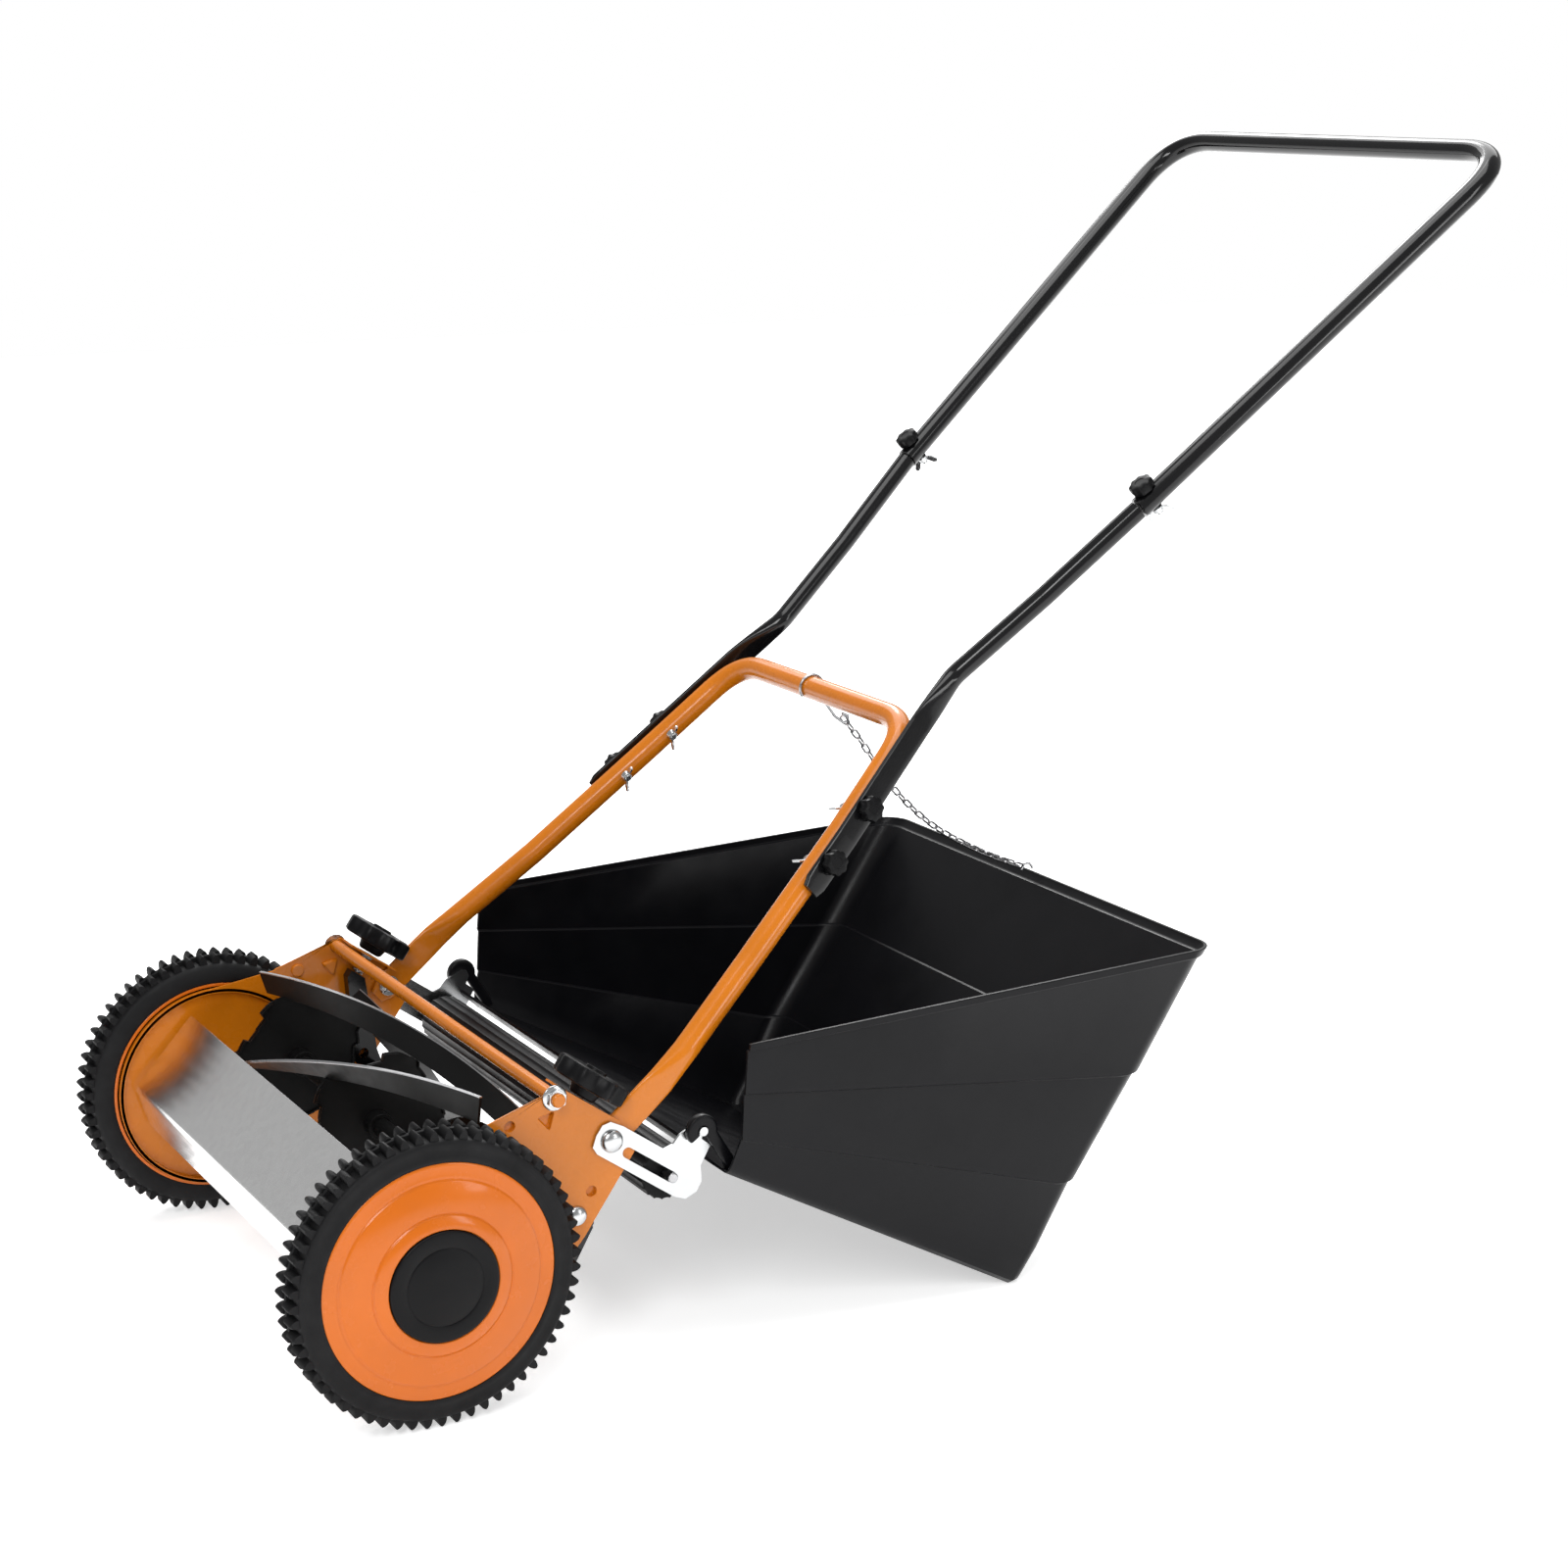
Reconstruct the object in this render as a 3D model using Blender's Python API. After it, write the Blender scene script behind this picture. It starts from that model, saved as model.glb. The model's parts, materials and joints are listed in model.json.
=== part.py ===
"""Reel mower with a grass catcher, as separate pieces on their joint axes.

The mower stands on its two wheels and on the heel of the catcher. +X is the
operator's left, +Y points to the rear, +Z is up, and the origin is on the
ground below the middle of the whole machine. Sizes are in millimetres and are
scaled to metres where each mesh is made.
"""
import math

import bmesh
import bpy
from mathutils import Matrix, Vector

MM = 0.001
GAP = 0.3                      # clearance between touching pieces

# Driving dimensions
TYRE_R = 127.5
HANDLE_REAR = 1104.3           # middle of the top bar, behind the axle
HANDLE_TOP = 873.0
HANDLE_HALF = 259.3
GRIP_R = 10.3
AXLE_Y = (TYRE_R - HANDLE_REAR - GRIP_R) / 2
AXLE_Z = TYRE_R
PLATE_TILT = 35.5              # degrees the side plates lean, nose up

# Side plates
PLATE_IN = 249.0
PLATE_OUT = 251.0
DRUM_R = 97.0
DRUM_OUT = 258.0
SHEET = 2.0
FLANGE_V = 180.4
FLANGE_W = 27.0
TIE_ROD = (29.3, 170.7)
TIE_R = 6.0

# Reel
REEL_Y = 61.8
REEL_Z = 32.0
REEL_R = 90.0
REEL_HALF = 218.0
BLADES = 5
BLADE_T = 2.6
BLADE_DEPTH = 23.0
REEL_PHASE = 131.6
REEL_TWIST = -0.22             # degrees per millimetre along X
SHAFT_R = 8.0
SPIDER_X = (-196.0, 0.0, 196.0)

# Gear drive: a toothed ring in each wheel turns a pinion on the reel shaft
RING_TEETH = 40
PINION_TEETH = 8
GEAR_IN = 262.0
GEAR_OUT = 272.0
RING_OUT = 97.4

# Wheels
RIM_IN = 255.0
RIM_OUT = 294.7
BARREL_R = 100.6
CAP_R = 47.4
CAP_OUT = 306.3
AXLE_R = 8.0

# Bed knife
KNIFE_PIVOT = (107.0, 94.0)
KNIFE_BAR_HALF = 246.0
ADJUSTER_U = 58.0
ADJUSTER_X = 239.5
KNOB_R = 33.0
ARM_TOP = 158.0

# Roller and its brackets
ROLLER_U = 167.5
ROLLER_V = 160.5
ROLLER_R = 24.0
ROLLER_HALF = 243.5
ROD_R = 4.5
BRACKET_IN = 251.3
BRACKET_OUT = 253.8
BRACKET_BOLT = (97.5, 162.6)
HOOK_PIN = (166.5, 207.5)
HOOK_PIN_R = 4.0
HOOK_X = 258.2

# Handle
FOOT_X = 246.4
LEG_R = 11.0
CROSS_Y = 521.6
CROSS_Z = 378.4
MID_R = 9.3
STRAP_T = 4.4
BOLT_R = 3.0
HOLE_R = 3.3

# Catcher
CATCHER_HALF = 285.0
WALL = 2.6
HEEL_Y = 577.0
HEEL_R = 12.0
CHAIN_X = -20.0
CHAIN_R = 2.2


# ---------------------------------------------------------------- scene set-up

def clear_scene():
    for obj in list(bpy.data.objects):
        bpy.data.objects.remove(obj, do_unlink=True)


def make_material(name, colour, roughness, metallic):
    mat = bpy.data.materials.new(name)
    mat.use_nodes = True
    shader = mat.node_tree.nodes["Principled BSDF"]
    shader.inputs["Base Color"].default_value = (*colour, 1.0)
    shader.inputs["Roughness"].default_value = roughness
    shader.inputs["Metallic"].default_value = metallic
    mat.diffuse_color = (*colour, 1.0)
    return mat


PALETTE = {
    "orange_paint": ((0.80, 0.24, 0.03), 0.32, 0.0),
    "black_paint": ((0.015, 0.015, 0.016), 0.28, 0.0),
    "zinc": ((0.68, 0.69, 0.70), 0.34, 1.0),
    "black_plastic": ((0.02, 0.02, 0.022), 0.5, 0.0),
    "catcher_plastic": ((0.018, 0.018, 0.019), 0.45, 0.0),
    "tyre_rubber": ((0.03, 0.03, 0.031), 0.7, 0.0),
    "steel": ((0.45, 0.45, 0.46), 0.35, 1.0),
    "orange_plastic": ((0.78, 0.22, 0.03), 0.4, 0.0),
}


def new_empty(name, parent, place, tilt=0.0):
    """An empty at place (mm in the parent's axes), turned about X by tilt."""
    empty = bpy.data.objects.new(name, None)
    bpy.context.collection.objects.link(empty)
    empty.parent = parent
    empty.location = Vector(place) * MM
    empty.rotation_euler = (math.radians(tilt), 0.0, 0.0)
    return empty


def add_piece(name, bm, slot, parent, place=(0.0, 0.0, 0.0), rotation=None):
    """Turns a bmesh in millimetres into one named object under its parent."""
    bmesh.ops.recalc_face_normals(bm, faces=bm.faces[:])
    bmesh.ops.scale(bm, vec=(MM, MM, MM), verts=bm.verts[:])
    mesh = bpy.data.meshes.new(name)
    bm.to_mesh(mesh)
    bm.free()
    mesh.materials.append(MATERIALS[slot])
    mesh.shade_smooth()
    mesh.set_sharp_from_angle(angle=math.radians(38))
    obj = bpy.data.objects.new(name, mesh)
    bpy.context.collection.objects.link(obj)
    obj.parent = parent
    obj.location = Vector(place) * MM
    if rotation is not None:
        obj.rotation_mode = "QUATERNION"
        obj.rotation_quaternion = rotation
    return obj


def boolean(target, tool, operation):
    """Cuts the hidden tool from the target, or joins it to the target."""
    tool.hide_render = True
    tool.display_type = "WIRE"
    modifier = target.modifiers.new(tool.name, "BOOLEAN")
    modifier.operation = operation
    modifier.solver = "EXACT"
    modifier.object = tool


# ---------------------------------------------------------------- shape makers

def loft(loops, closed=False):
    """Bridges loops of equal length; open lofts are capped at both ends."""
    bm = bmesh.new()
    rings = [[bm.verts.new(point) for point in loop] for loop in loops]
    count = len(rings)
    last = count if closed else count - 1
    for i in range(last):
        near, far = rings[i], rings[(i + 1) % count]
        for j in range(len(near)):
            bm.faces.new((near[j - 1], near[j], far[j], far[j - 1]))
    if not closed:
        bm.faces.new(rings[0])
        bm.faces.new(rings[-1])
    return bm


def circle(radius, count, centre=(0.0, 0.0), start=-90.0):
    """Points round a circle, as pairs."""
    step = 360.0 / count
    angles = [math.radians(start + step * i) for i in range(count)]
    return [(centre[0] + radius * math.cos(a), centre[1] + radius * math.sin(a)) for a in angles]


def turned(profile, count=48, closed=False):
    """A profile of (x, radius) turned about X; a closed one makes a ring."""
    loops = [[(x, y, z) for y, z in circle(radius, count)] for x, radius in profile]
    return loft(loops, closed)


def prism(outline, low, high, holes=()):
    """A plate with holes, its outline in (y, z) and its thickness along X."""
    bm = bmesh.new()
    edges = []
    for loop in (outline, *holes):
        verts = [bm.verts.new((low, a, b)) for a, b in loop]
        edges += [bm.edges.new((verts[i - 1], verts[i])) for i in range(len(verts))]
    bmesh.ops.triangle_fill(bm, use_beauty=True, use_dissolve=False, edges=edges)
    pushed = bmesh.ops.extrude_face_region(bm, geom=bm.faces[:])
    moved = [item for item in pushed["geom"] if isinstance(item, bmesh.types.BMVert)]
    bmesh.ops.translate(bm, verts=moved, vec=(high - low, 0.0, 0.0))
    return bm


def lobed(radius, depth, lobes, count):
    """Points of a circle whose radius waves in and out by depth."""
    points = []
    for i in range(count):
        angle = 2 * math.pi * i / count
        reach = radius - depth * (1 - math.cos(lobes * angle)) / 2
        points.append((reach * math.cos(angle), reach * math.sin(angle)))
    return points


def stacked(layers):
    """Lofts (x, outline) layers along X."""
    return loft([[(x, a, b) for a, b in outline] for x, outline in layers])


def fillet(corners, radius, steps=5):
    """A route through the corners with each inner one rounded by an arc."""
    route = [Vector(corners[0])]
    for before, here, after in zip(corners, corners[1:], corners[2:]):
        here = Vector(here)
        back = (Vector(before) - here).normalized()
        ahead = (Vector(after) - here).normalized()
        half = back.angle(ahead) / 2
        reach = min(radius / math.tan(half), 0.45 * (Vector(before) - here).length,
                    0.45 * (Vector(after) - here).length)
        start, end = here + back * reach, here + ahead * reach
        for i in range(steps + 1):
            t = i / steps
            route.append(start * (1 - t) ** 2 + here * 2 * t * (1 - t) + end * t ** 2)
    route.append(Vector(corners[-1]))
    return route


def smooth_route(points, per_span):
    """A smooth curve through the given points."""
    points = [Vector(p) for p in points]
    padded = [2 * points[0] - points[1], *points, 2 * points[-1] - points[-2]]
    route = []
    for a, b, c, d in zip(padded, padded[1:], padded[2:], padded[3:]):
        for i in range(per_span):
            t = i / per_span
            route.append(0.5 * (2 * b + (c - a) * t + (2 * a - 5 * b + 4 * c - d) * t ** 2
                                + (3 * b - a - 3 * c + d) * t ** 3))
    route.append(points[-1])
    return route


def sweep(route, sections, side, sides=8):
    """Sweeps a section along a route. Each section is (half thickness along
    side, half width, squareness), where squareness 1 is round."""
    loops = []
    normal = Vector(side)
    for i, point in enumerate(route):
        tangent = (route[min(i + 1, len(route) - 1)] - route[max(i - 1, 0)]).normalized()
        normal = (normal - tangent * normal.dot(tangent)).normalized()
        across = tangent.cross(normal)
        half, width, power = sections[i]
        loop = []
        for j in range(sides):
            angle = 2 * math.pi * (j + 0.5) / sides
            cos, sin = math.cos(angle), math.sin(angle)
            a = math.copysign(abs(cos) ** power, cos) * half
            b = math.copysign(abs(sin) ** power, sin) * width
            loop.append(point + normal * a + across * b)
        loops.append(loop)
    return loft(loops)


def mirrored(points):
    """The same points on the other side of the machine, in reverse order."""
    return [(-x, y, z) for x, y, z in reversed(points)]


# ---------------------------------------------------------------------- frame

def plate_outline():
    """Side plate in its own axes, from the nose of the flange clockwise."""
    top = [(-14.7, 121.0), (29.4, FLANGE_V), (95.3, FLANGE_V), (124.0, 166.0)]
    edge = [(124.5, 83.0), (118.5, 12.0), (109.0, -14.0)]
    around = []
    for degrees in range(-20, -240, -11):
        angle = math.radians(degrees)
        around.append((DRUM_R * math.cos(angle), DRUM_R * math.sin(angle)))
    return top + edge + around


def side_plates(frame, plate_axes):
    for side, sign in SIDES:
        low, high = sorted((sign * PLATE_IN, sign * PLATE_OUT))
        holes = [
            circle(DRUM_R - 4.0, 32),
            circle(TIE_R + GAP, 12, TIE_ROD),
            circle(4.0 + GAP, 12, BRACKET_BOLT),
            circle(5.0 + GAP, 12, KNIFE_PIVOT),
        ]
        plate = add_piece("side_plate_" + side, prism(plate_outline(), low, high, holes),
                          "orange_paint", plate_axes)
        inner = DRUM_R - SHEET - 0.6
        cup = [(PLATE_IN, DRUM_R - 0.4), (DRUM_OUT - 2.5, DRUM_R - 0.4), (DRUM_OUT, DRUM_R - 3.2),
               (DRUM_OUT, AXLE_R + GAP), (DRUM_OUT - SHEET, AXLE_R + GAP),
               (DRUM_OUT - SHEET, inner - 2.4), (PLATE_IN, inner - 2.4)]
        drum = add_piece("drum_" + side, turned([(sign * x, r) for x, r in cup], 32, True),
                         "orange_paint", frame)
        boolean(plate, drum, "UNION")
        bore = turned([(sign * (DRUM_OUT - 10), 14 + GAP), (sign * (DRUM_OUT + 10), 14 + GAP)], 24)
        bearing_hole = add_piece("bearing_hole_" + side, bore, "steel", frame, (0, REEL_Y, REEL_Z))
        boolean(plate, bearing_hole, "DIFFERENCE")
        inner_x = sign * (PLATE_IN - FLANGE_W)
        strip = [(inner_x, 31.0), (sign * (PLATE_IN + 0.8), 31.0), (sign * (PLATE_IN + 0.8), 85.0),
                 (inner_x, 85.0)]
        screw_hole = circle(3.4, 10, (sign * ADJUSTER_X, ADJUSTER_U))
        flange = prism([(u, -x) for x, u in strip], FLANGE_V - SHEET, FLANGE_V - 0.05,
                       [[(u, -x) for x, u in screw_hole]])
        for vert in flange.verts:
            v, u, minus_x = vert.co
            vert.co = (-minus_x, u, v)
        lip = add_piece("flange_" + side, flange, "orange_paint", plate_axes)
        boolean(plate, lip, "UNION")


def front_guard(frame):
    """Folded zinc sheet in front of the reel."""
    line = [Vector(p) for p in ((-25.0, 75.0), (-82.0, 13.0), (-69.0, -28.0))]
    thick = 1.5
    outer = [line[0], line[1], line[2]]
    inner = [line[2] + Vector((thick, 0.3)), line[1] + Vector((1.9, 0.2)),
             line[0] + Vector((0.7, -1.4))]
    outline = [(p.x, p.y) for p in outer + inner]
    half = PLATE_IN - GAP
    add_piece("front_guard", prism(outline, -half, half), "zinc", frame)


def tie_rod(plate_axes):
    """Rod across the top of the plates, with its flange nuts."""
    out = PLATE_OUT + GAP
    half = [(262.0, TIE_R - 1), (259.5, TIE_R), (258.5, TIE_R), (258.5, 8.5), (253.2, 8.5),
            (253.0, 11.0), (out, 11.0), (out, TIE_R)]
    profile = half + [(-x, r) for x, r in reversed(half)]
    add_piece("tie_rod", turned(profile, 12), "orange_paint", plate_axes, (0, *TIE_ROD))


def axles_and_bearings(frame):
    for side, sign in SIDES:
        face = DRUM_OUT - SHEET - GAP
        axle = [(face - 5, 15.0), (face, 15.0), (face, AXLE_R), (301.5, AXLE_R), (302.5, AXLE_R - 1)]
        add_piece("stub_axle_" + side, turned([(sign * x, r) for x, r in axle], 20), "steel", frame)
        bush = [(face - 5, SHAFT_R + GAP), (face - 5, 20.0), (face, 20.0), (face, 14.0),
                (DRUM_OUT + 2, 14.0), (DRUM_OUT + 2, SHAFT_R + GAP)]
        add_piece("reel_bearing_" + side, turned([(sign * x, r) for x, r in bush], 16, True),
                  "black_plastic", frame, (0, REEL_Y, REEL_Z))


# ---------------------------------------------------------------------- wheels

def gear_outline(teeth, inner, outer, half_low, half_high, phase):
    """Gear outline; half_low and half_high are each tooth's half thickness in
    degrees at its root and at its tip. inner is the root of an outside gear."""
    points = []
    for tooth in range(teeth):
        middle = phase + 360.0 * tooth / teeth
        for offset, radius in ((-half_low, inner), (-half_high, outer),
                               (half_high, outer), (half_low, inner)):
            angle = math.radians(middle + offset)
            points.append((radius * math.cos(angle), radius * math.sin(angle)))
    return points


def gear_pair():
    """Outlines of the toothed ring's inside and of the pinion, in mesh."""
    distance = math.hypot(REEL_Y, REEL_Z)
    toward = math.degrees(math.atan2(REEL_Z, REEL_Y))
    module = 2 * distance / (RING_TEETH - PINION_TEETH)
    ring_r, pinion_r = module * RING_TEETH / 2, module * PINION_TEETH / 2
    ring_pitch, pinion_pitch = 360.0 / RING_TEETH, 360.0 / PINION_TEETH
    ring = gear_outline(RING_TEETH, ring_r + 1.0 * module, ring_r - 0.62 * module,
                        0.31 * ring_pitch, 0.13 * ring_pitch, toward + ring_pitch / 2)
    pinion = gear_outline(PINION_TEETH, pinion_r - 1.0 * module, pinion_r + 0.75 * module,
                          0.30 * pinion_pitch, 0.085 * pinion_pitch, toward)
    return ring, pinion


def wheels(axes):
    ring_inside, _ = gear_pair()
    for side, sign in SIDES:
        wheel = [
            (262.0, AXLE_R + GAP), (299.8, AXLE_R + GAP), (299.8, CAP_R + GAP), (304.6, CAP_R + GAP),
            (304.6, 49.5), (302.0, 60.0), (297.0, 88.0), (RIM_OUT, 99.0), (RIM_OUT, BARREL_R),
            (RIM_IN, BARREL_R), (RIM_IN, RING_OUT + GAP), (290.0, RING_OUT + GAP), (292.5, 87.0),
            (297.0, 60.0), (297.0, 16.0), (262.0, 16.0),
        ]
        add_piece("wheel_" + side, turned([(sign * x, r) for x, r in wheel], 32, True),
                  "orange_plastic", axes[side])
        low, high = sorted((sign * GEAR_IN, sign * GEAR_OUT))
        add_piece("ring_gear_" + side, prism(circle(RING_OUT, 32), low, high, [ring_inside]),
                  "black_plastic", axes[side])
        cap = [(303.8, 11.0), (300.2, 11.0), (300.2, CAP_R), (305.4, CAP_R), (CAP_OUT, CAP_R - 1.0),
               (CAP_OUT, 33.0), (CAP_OUT - 0.6, 32.0)]
        add_piece("hub_cap_" + side, turned([(sign * x, r) for x, r in cap], 32),
                  "black_plastic", axes[side])
        tyre = [
            (255.6, BARREL_R + GAP), (294.4, BARREL_R + GAP), (295.2, 104.0), (294.6, 112.0),
            (291.5, 119.5), (290.0, TYRE_R), (261.0, TYRE_R), (259.0, 119.5), (255.8, 112.0),
            (254.8, 104.0),
        ]
        add_piece("tyre_" + side, turned([(sign * x, r) for x, r in tyre], 32, True),
                  "tyre_rubber", axes[side])


# ------------------------------------------------------------------------ reel

def reel(axis):
    """Five twisted blades on three star-shaped spiders and one shaft."""
    steps = 16
    for blade in range(BLADES):
        loops = []
        for i in range(steps + 1):
            x = -REEL_HALF + 2 * REEL_HALF * i / steps
            angle = math.radians(REEL_PHASE + REEL_TWIST * x - 360.0 / BLADES * blade)
            out = Vector((0, math.cos(angle), math.sin(angle)))
            across = Vector((0, -math.sin(angle), math.cos(angle))) * (BLADE_T / 2)
            inner, outer = out * (REEL_R - BLADE_DEPTH), out * REEL_R
            station = Vector((x, 0, 0))
            loops.append([station + p for p in (inner - across, outer - across,
                                                outer + across, inner + across)])
        add_piece("reel_blade_%d" % (blade + 1), loft(loops), "black_paint", axis)
    for number, x in enumerate(SPIDER_X):
        outline = []
        for arm in range(BLADES):
            middle = REEL_PHASE + REEL_TWIST * x - 360.0 / BLADES * arm
            for offset, radius in ((36, 52.0), (22, 56.0), (9.5, REEL_R - BLADE_DEPTH - 0.8),
                                   (-9.5, REEL_R - BLADE_DEPTH - 0.8), (-22, 56.0)):
                angle = math.radians(middle + offset)
                outline.append((radius * math.cos(angle), radius * math.sin(angle)))
        star = prism(outline, x - 1.5, x + 1.5, [circle(SHAFT_R + GAP, 16)])
        add_piece("reel_spider_%d" % (number + 1), star, "steel", axis)
    end = GEAR_OUT + 4.0
    add_piece("reel_shaft", turned([(-end, SHAFT_R - 1), (1 - end, SHAFT_R), (end - 1, SHAFT_R),
                                    (end, SHAFT_R - 1)], 16), "steel", axis)
    _, pinion_outline = gear_pair()
    for side, sign in SIDES:
        low, high = sorted((sign * (GEAR_IN - 1), sign * GEAR_OUT))
        gear = prism(pinion_outline, low, high, [circle(SHAFT_R + GAP, 16)])
        add_piece("drive_pinion_" + side, gear, "steel", axis)


# ------------------------------------------------------------------- bed knife

def bed_knife(axis, plate_axes):
    """Bar, blade and its adjusters. The bar's axes run through its pivots."""
    pu, pv = KNIFE_PIVOT

    def local(points):
        return [(u - pu, v - pv) for u, v in points]

    section = [(120.5, 33.0), (128.5, 30.0), (133.0, 60.0), (130.0, 92.0), (124.5, 92.0),
               (127.5, 60.0), (123.5, 38.5)]
    bar = add_piece("bed_knife_bar", prism(local(section), -KNIFE_BAR_HALF, KNIFE_BAR_HALF),
                    "black_paint", axis)
    arm = [(127.0, 62.0), (132.0, 62.0), (129.0, 95.0), (117.0, 104.0), (66.0, ARM_TOP),
           (50.0, ARM_TOP), (50.0, 150.0), (95.0, 96.0), (97.0, 86.0), (106.0, 82.0), (124.0, 86.0)]
    for side, sign in SIDES:
        low, high = sorted((sign * 234.0, sign * (KNIFE_BAR_HALF - 0.5)))
        hole = circle(5.0 + GAP, 12)
        ear = add_piece("arm_" + side, prism(local(arm), low, high, [hole]), "black_paint", axis)
        boolean(bar, ear, "UNION")
        bolt = [(230.0, 5.0), (PLATE_OUT + GAP, 5.0), (PLATE_OUT + GAP, 9.0), (255.5, 7.5), (256.8, 3.5)]
        shank = turned([(sign * x, r) for x, r in bolt], 12)
        add_piece("knife_pivot_" + side, shank, "zinc", plate_axes, (0, *KNIFE_PIVOT))
    blade = [(115.9, 29.2), (120.2, 32.7), (128.3, 29.7), (127.5, 27.0), (117.5, 26.8)]
    add_piece("bed_knife", prism(local(blade), -REEL_HALF - 6, REEL_HALF + 6), "steel", axis)


def adjusters(axes, plate_axes):
    """Lobed hand knobs whose screws press on the bar's arms, over a spring."""
    for side, sign in SIDES:
        count = 24
        knob = [
            (ARM_TOP + GAP, circle(3.0, count, start=0)), (FLANGE_V + 1.0, circle(3.0, count, start=0)),
            (FLANGE_V + 1.0, circle(11.0, count, start=0)), (191.6, circle(11.5, count, start=0)),
            (191.6, lobed(KNOB_R - 1.5, 4.0, 8, count)), (194.5, lobed(KNOB_R, 5.0, 8, count)),
            (204.0, lobed(KNOB_R, 5.0, 8, count)), (206.6, lobed(KNOB_R - 2.5, 4.0, 8, count)),
            (206.6, circle(8.0, count, start=0)), (208.6, circle(7.0, count, start=0)),
        ]
        body = stacked([(v - ARM_TOP, outline) for v, outline in knob])
        upright = Matrix.Rotation(math.radians(-90), 3, "Y").to_quaternion()
        add_piece("adjuster_knob_" + side, body, "black_plastic", axes[side], (0, 0, 0), upright)
        turns, per_turn = 4, 7
        low, high = ARM_TOP + 1.4, FLANGE_V - SHEET - 1.4
        route = []
        for i in range(turns * per_turn + 1):
            angle = 2 * math.pi * i / per_turn
            height = low + (high - low) * i / (turns * per_turn)
            route.append(Vector((5.6 * math.cos(angle), 5.6 * math.sin(angle), height)))
        coil = sweep(route, [(0.9, 0.9, 1.0)] * len(route), (1, 0, 0), 4)
        add_piece("adjuster_spring_" + side, coil, "steel", plate_axes,
                  (sign * ADJUSTER_X, ADJUSTER_U, 0))


# ---------------------------------------------------------------------- roller

def slot_loop(u0, u1, v, radius, count=8):
    """A slot with round ends."""
    points = []
    for i in range(count + 1):
        angle = math.radians(90 + 180 * i / count)
        points.append((u0 + radius * math.cos(angle), v + radius * math.sin(angle)))
    for i in range(count + 1):
        angle = math.radians(-90 + 180 * i / count)
        points.append((u1 + radius * math.cos(angle), v + radius * math.sin(angle)))
    return points


def roller_brackets(plate_axes):
    outline = [
        (85.0, 150.0), (82.0, 160.0), (82.0, 170.0), (87.0, 176.0), (100.0, 178.0), (147.0, 178.0),
        (152.0, 185.0), (153.0, 195.0), (157.0, 203.0), (161.0, 210.5), (166.5, 213.0), (172.0, 209.5), (174.0, 201.0),
        (185.0, 200.0), (187.0, 181.0), (196.0, 170.0), (197.0, 160.0), (191.0, 150.0), (180.0, 147.0),
        (92.0, 147.0),
    ]
    slot = slot_loop(117.0, ROLLER_U, ROLLER_V, ROD_R + GAP)
    for side, sign in SIDES:
        low, high = sorted((sign * BRACKET_IN, sign * BRACKET_OUT))
        holes = [slot, circle(4.0 + GAP, 12, BRACKET_BOLT)]
        bracket = add_piece("roller_bracket_" + side, prism(outline, low, high, holes),
                            "zinc", plate_axes)
        pin = turned([(sign * (BRACKET_IN + 0.4), HOOK_PIN_R), (sign * 263.0, HOOK_PIN_R)], 14)
        stud = add_piece("hook_pin_" + side, pin, "zinc", plate_axes, (0, *HOOK_PIN))
        boolean(bracket, stud, "UNION")
        inside = FOOT_X - STRAP_T / 2 - GAP - 0.2
        bolt = [(236.0, 3.2), (237.0, 4.0), (239.0, 4.0), (239.0, 7.5), (inside, 9.0), (inside, 4.0),
                (BRACKET_OUT + GAP, 4.0), (BRACKET_OUT + GAP, 10.0), (258.2, 8.6), (259.6, 4.0)]
        add_piece("bracket_bolt_" + side, turned([(sign * x, r) for x, r in bolt], 14), "zinc",
                  plate_axes, (0, *BRACKET_BOLT))


def roller(carriage, spin):
    """Fluted roller on a rod whose ends sit in the brackets' slots."""
    end = BRACKET_OUT + 4.0
    add_piece("roller_rod", turned([(-end, ROD_R - 0.8), (0.8 - end, ROD_R), (end - 0.8, ROD_R),
                                    (end, ROD_R - 0.8)], 14), "steel", carriage)
    count = 32
    flutes = lobed(ROLLER_R, 1.2, 16, count)
    bore = circle(ROD_R + GAP, count, start=0)
    body = loft([[(x, a, b) for a, b in ring] for x, ring in (
        (-ROLLER_HALF, flutes), (ROLLER_HALF, flutes), (ROLLER_HALF, bore), (-ROLLER_HALF, bore))], True)
    add_piece("roller", body, "black_plastic", spin)


# ---------------------------------------------------------------------- handle

def wing_outline(count, hub, reach):
    """Outline of a wing nut seen along its bolt."""
    points = []
    for i in range(count):
        angle = 2 * math.pi * i / count
        wing = max(0.0, math.cos(2 * angle)) ** 2 if abs(math.cos(angle)) > 0.7 else 0.0
        radius = hub + (reach - hub) * wing
        points.append((radius * math.cos(angle), radius * math.sin(angle)))
    return points


def leg_route():
    """Centre line of the lower handle's left leg, from foot to corner."""
    dy, dz = 240.0 - 173.8, 131.0 - 75.8
    length = math.hypot(dy, dz)
    start = (FOOT_X, 173.8 - 16 * dy / length, 75.8 - 16 * dz / length)
    return [start, (FOOT_X, 196.0, 94.3), (FOOT_X - 0.5, 224.0, 117.7), (240.5, 250.0, 139.2),
            (218.8, 320.0, 197.3), (188.3, 430.0, 294.06), (159.1, CROSS_Y, CROSS_Z)]


def mid_route():
    """Centre line of the left middle tube, from its strap end to the neck."""
    offset = 0.5 * STRAP_T + LEG_R + 1.8
    low = [(200.7 + offset, 386.0, 254.5), (188.3 + offset, 430.0, 294.06),
           (159.1 + offset, CROSS_Y, CROSS_Z)]
    return [*low, (158.5, 566.0, 416.0), (178.9, 650.0, 485.7), (200.4, 734.5, 560.4)]


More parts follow.
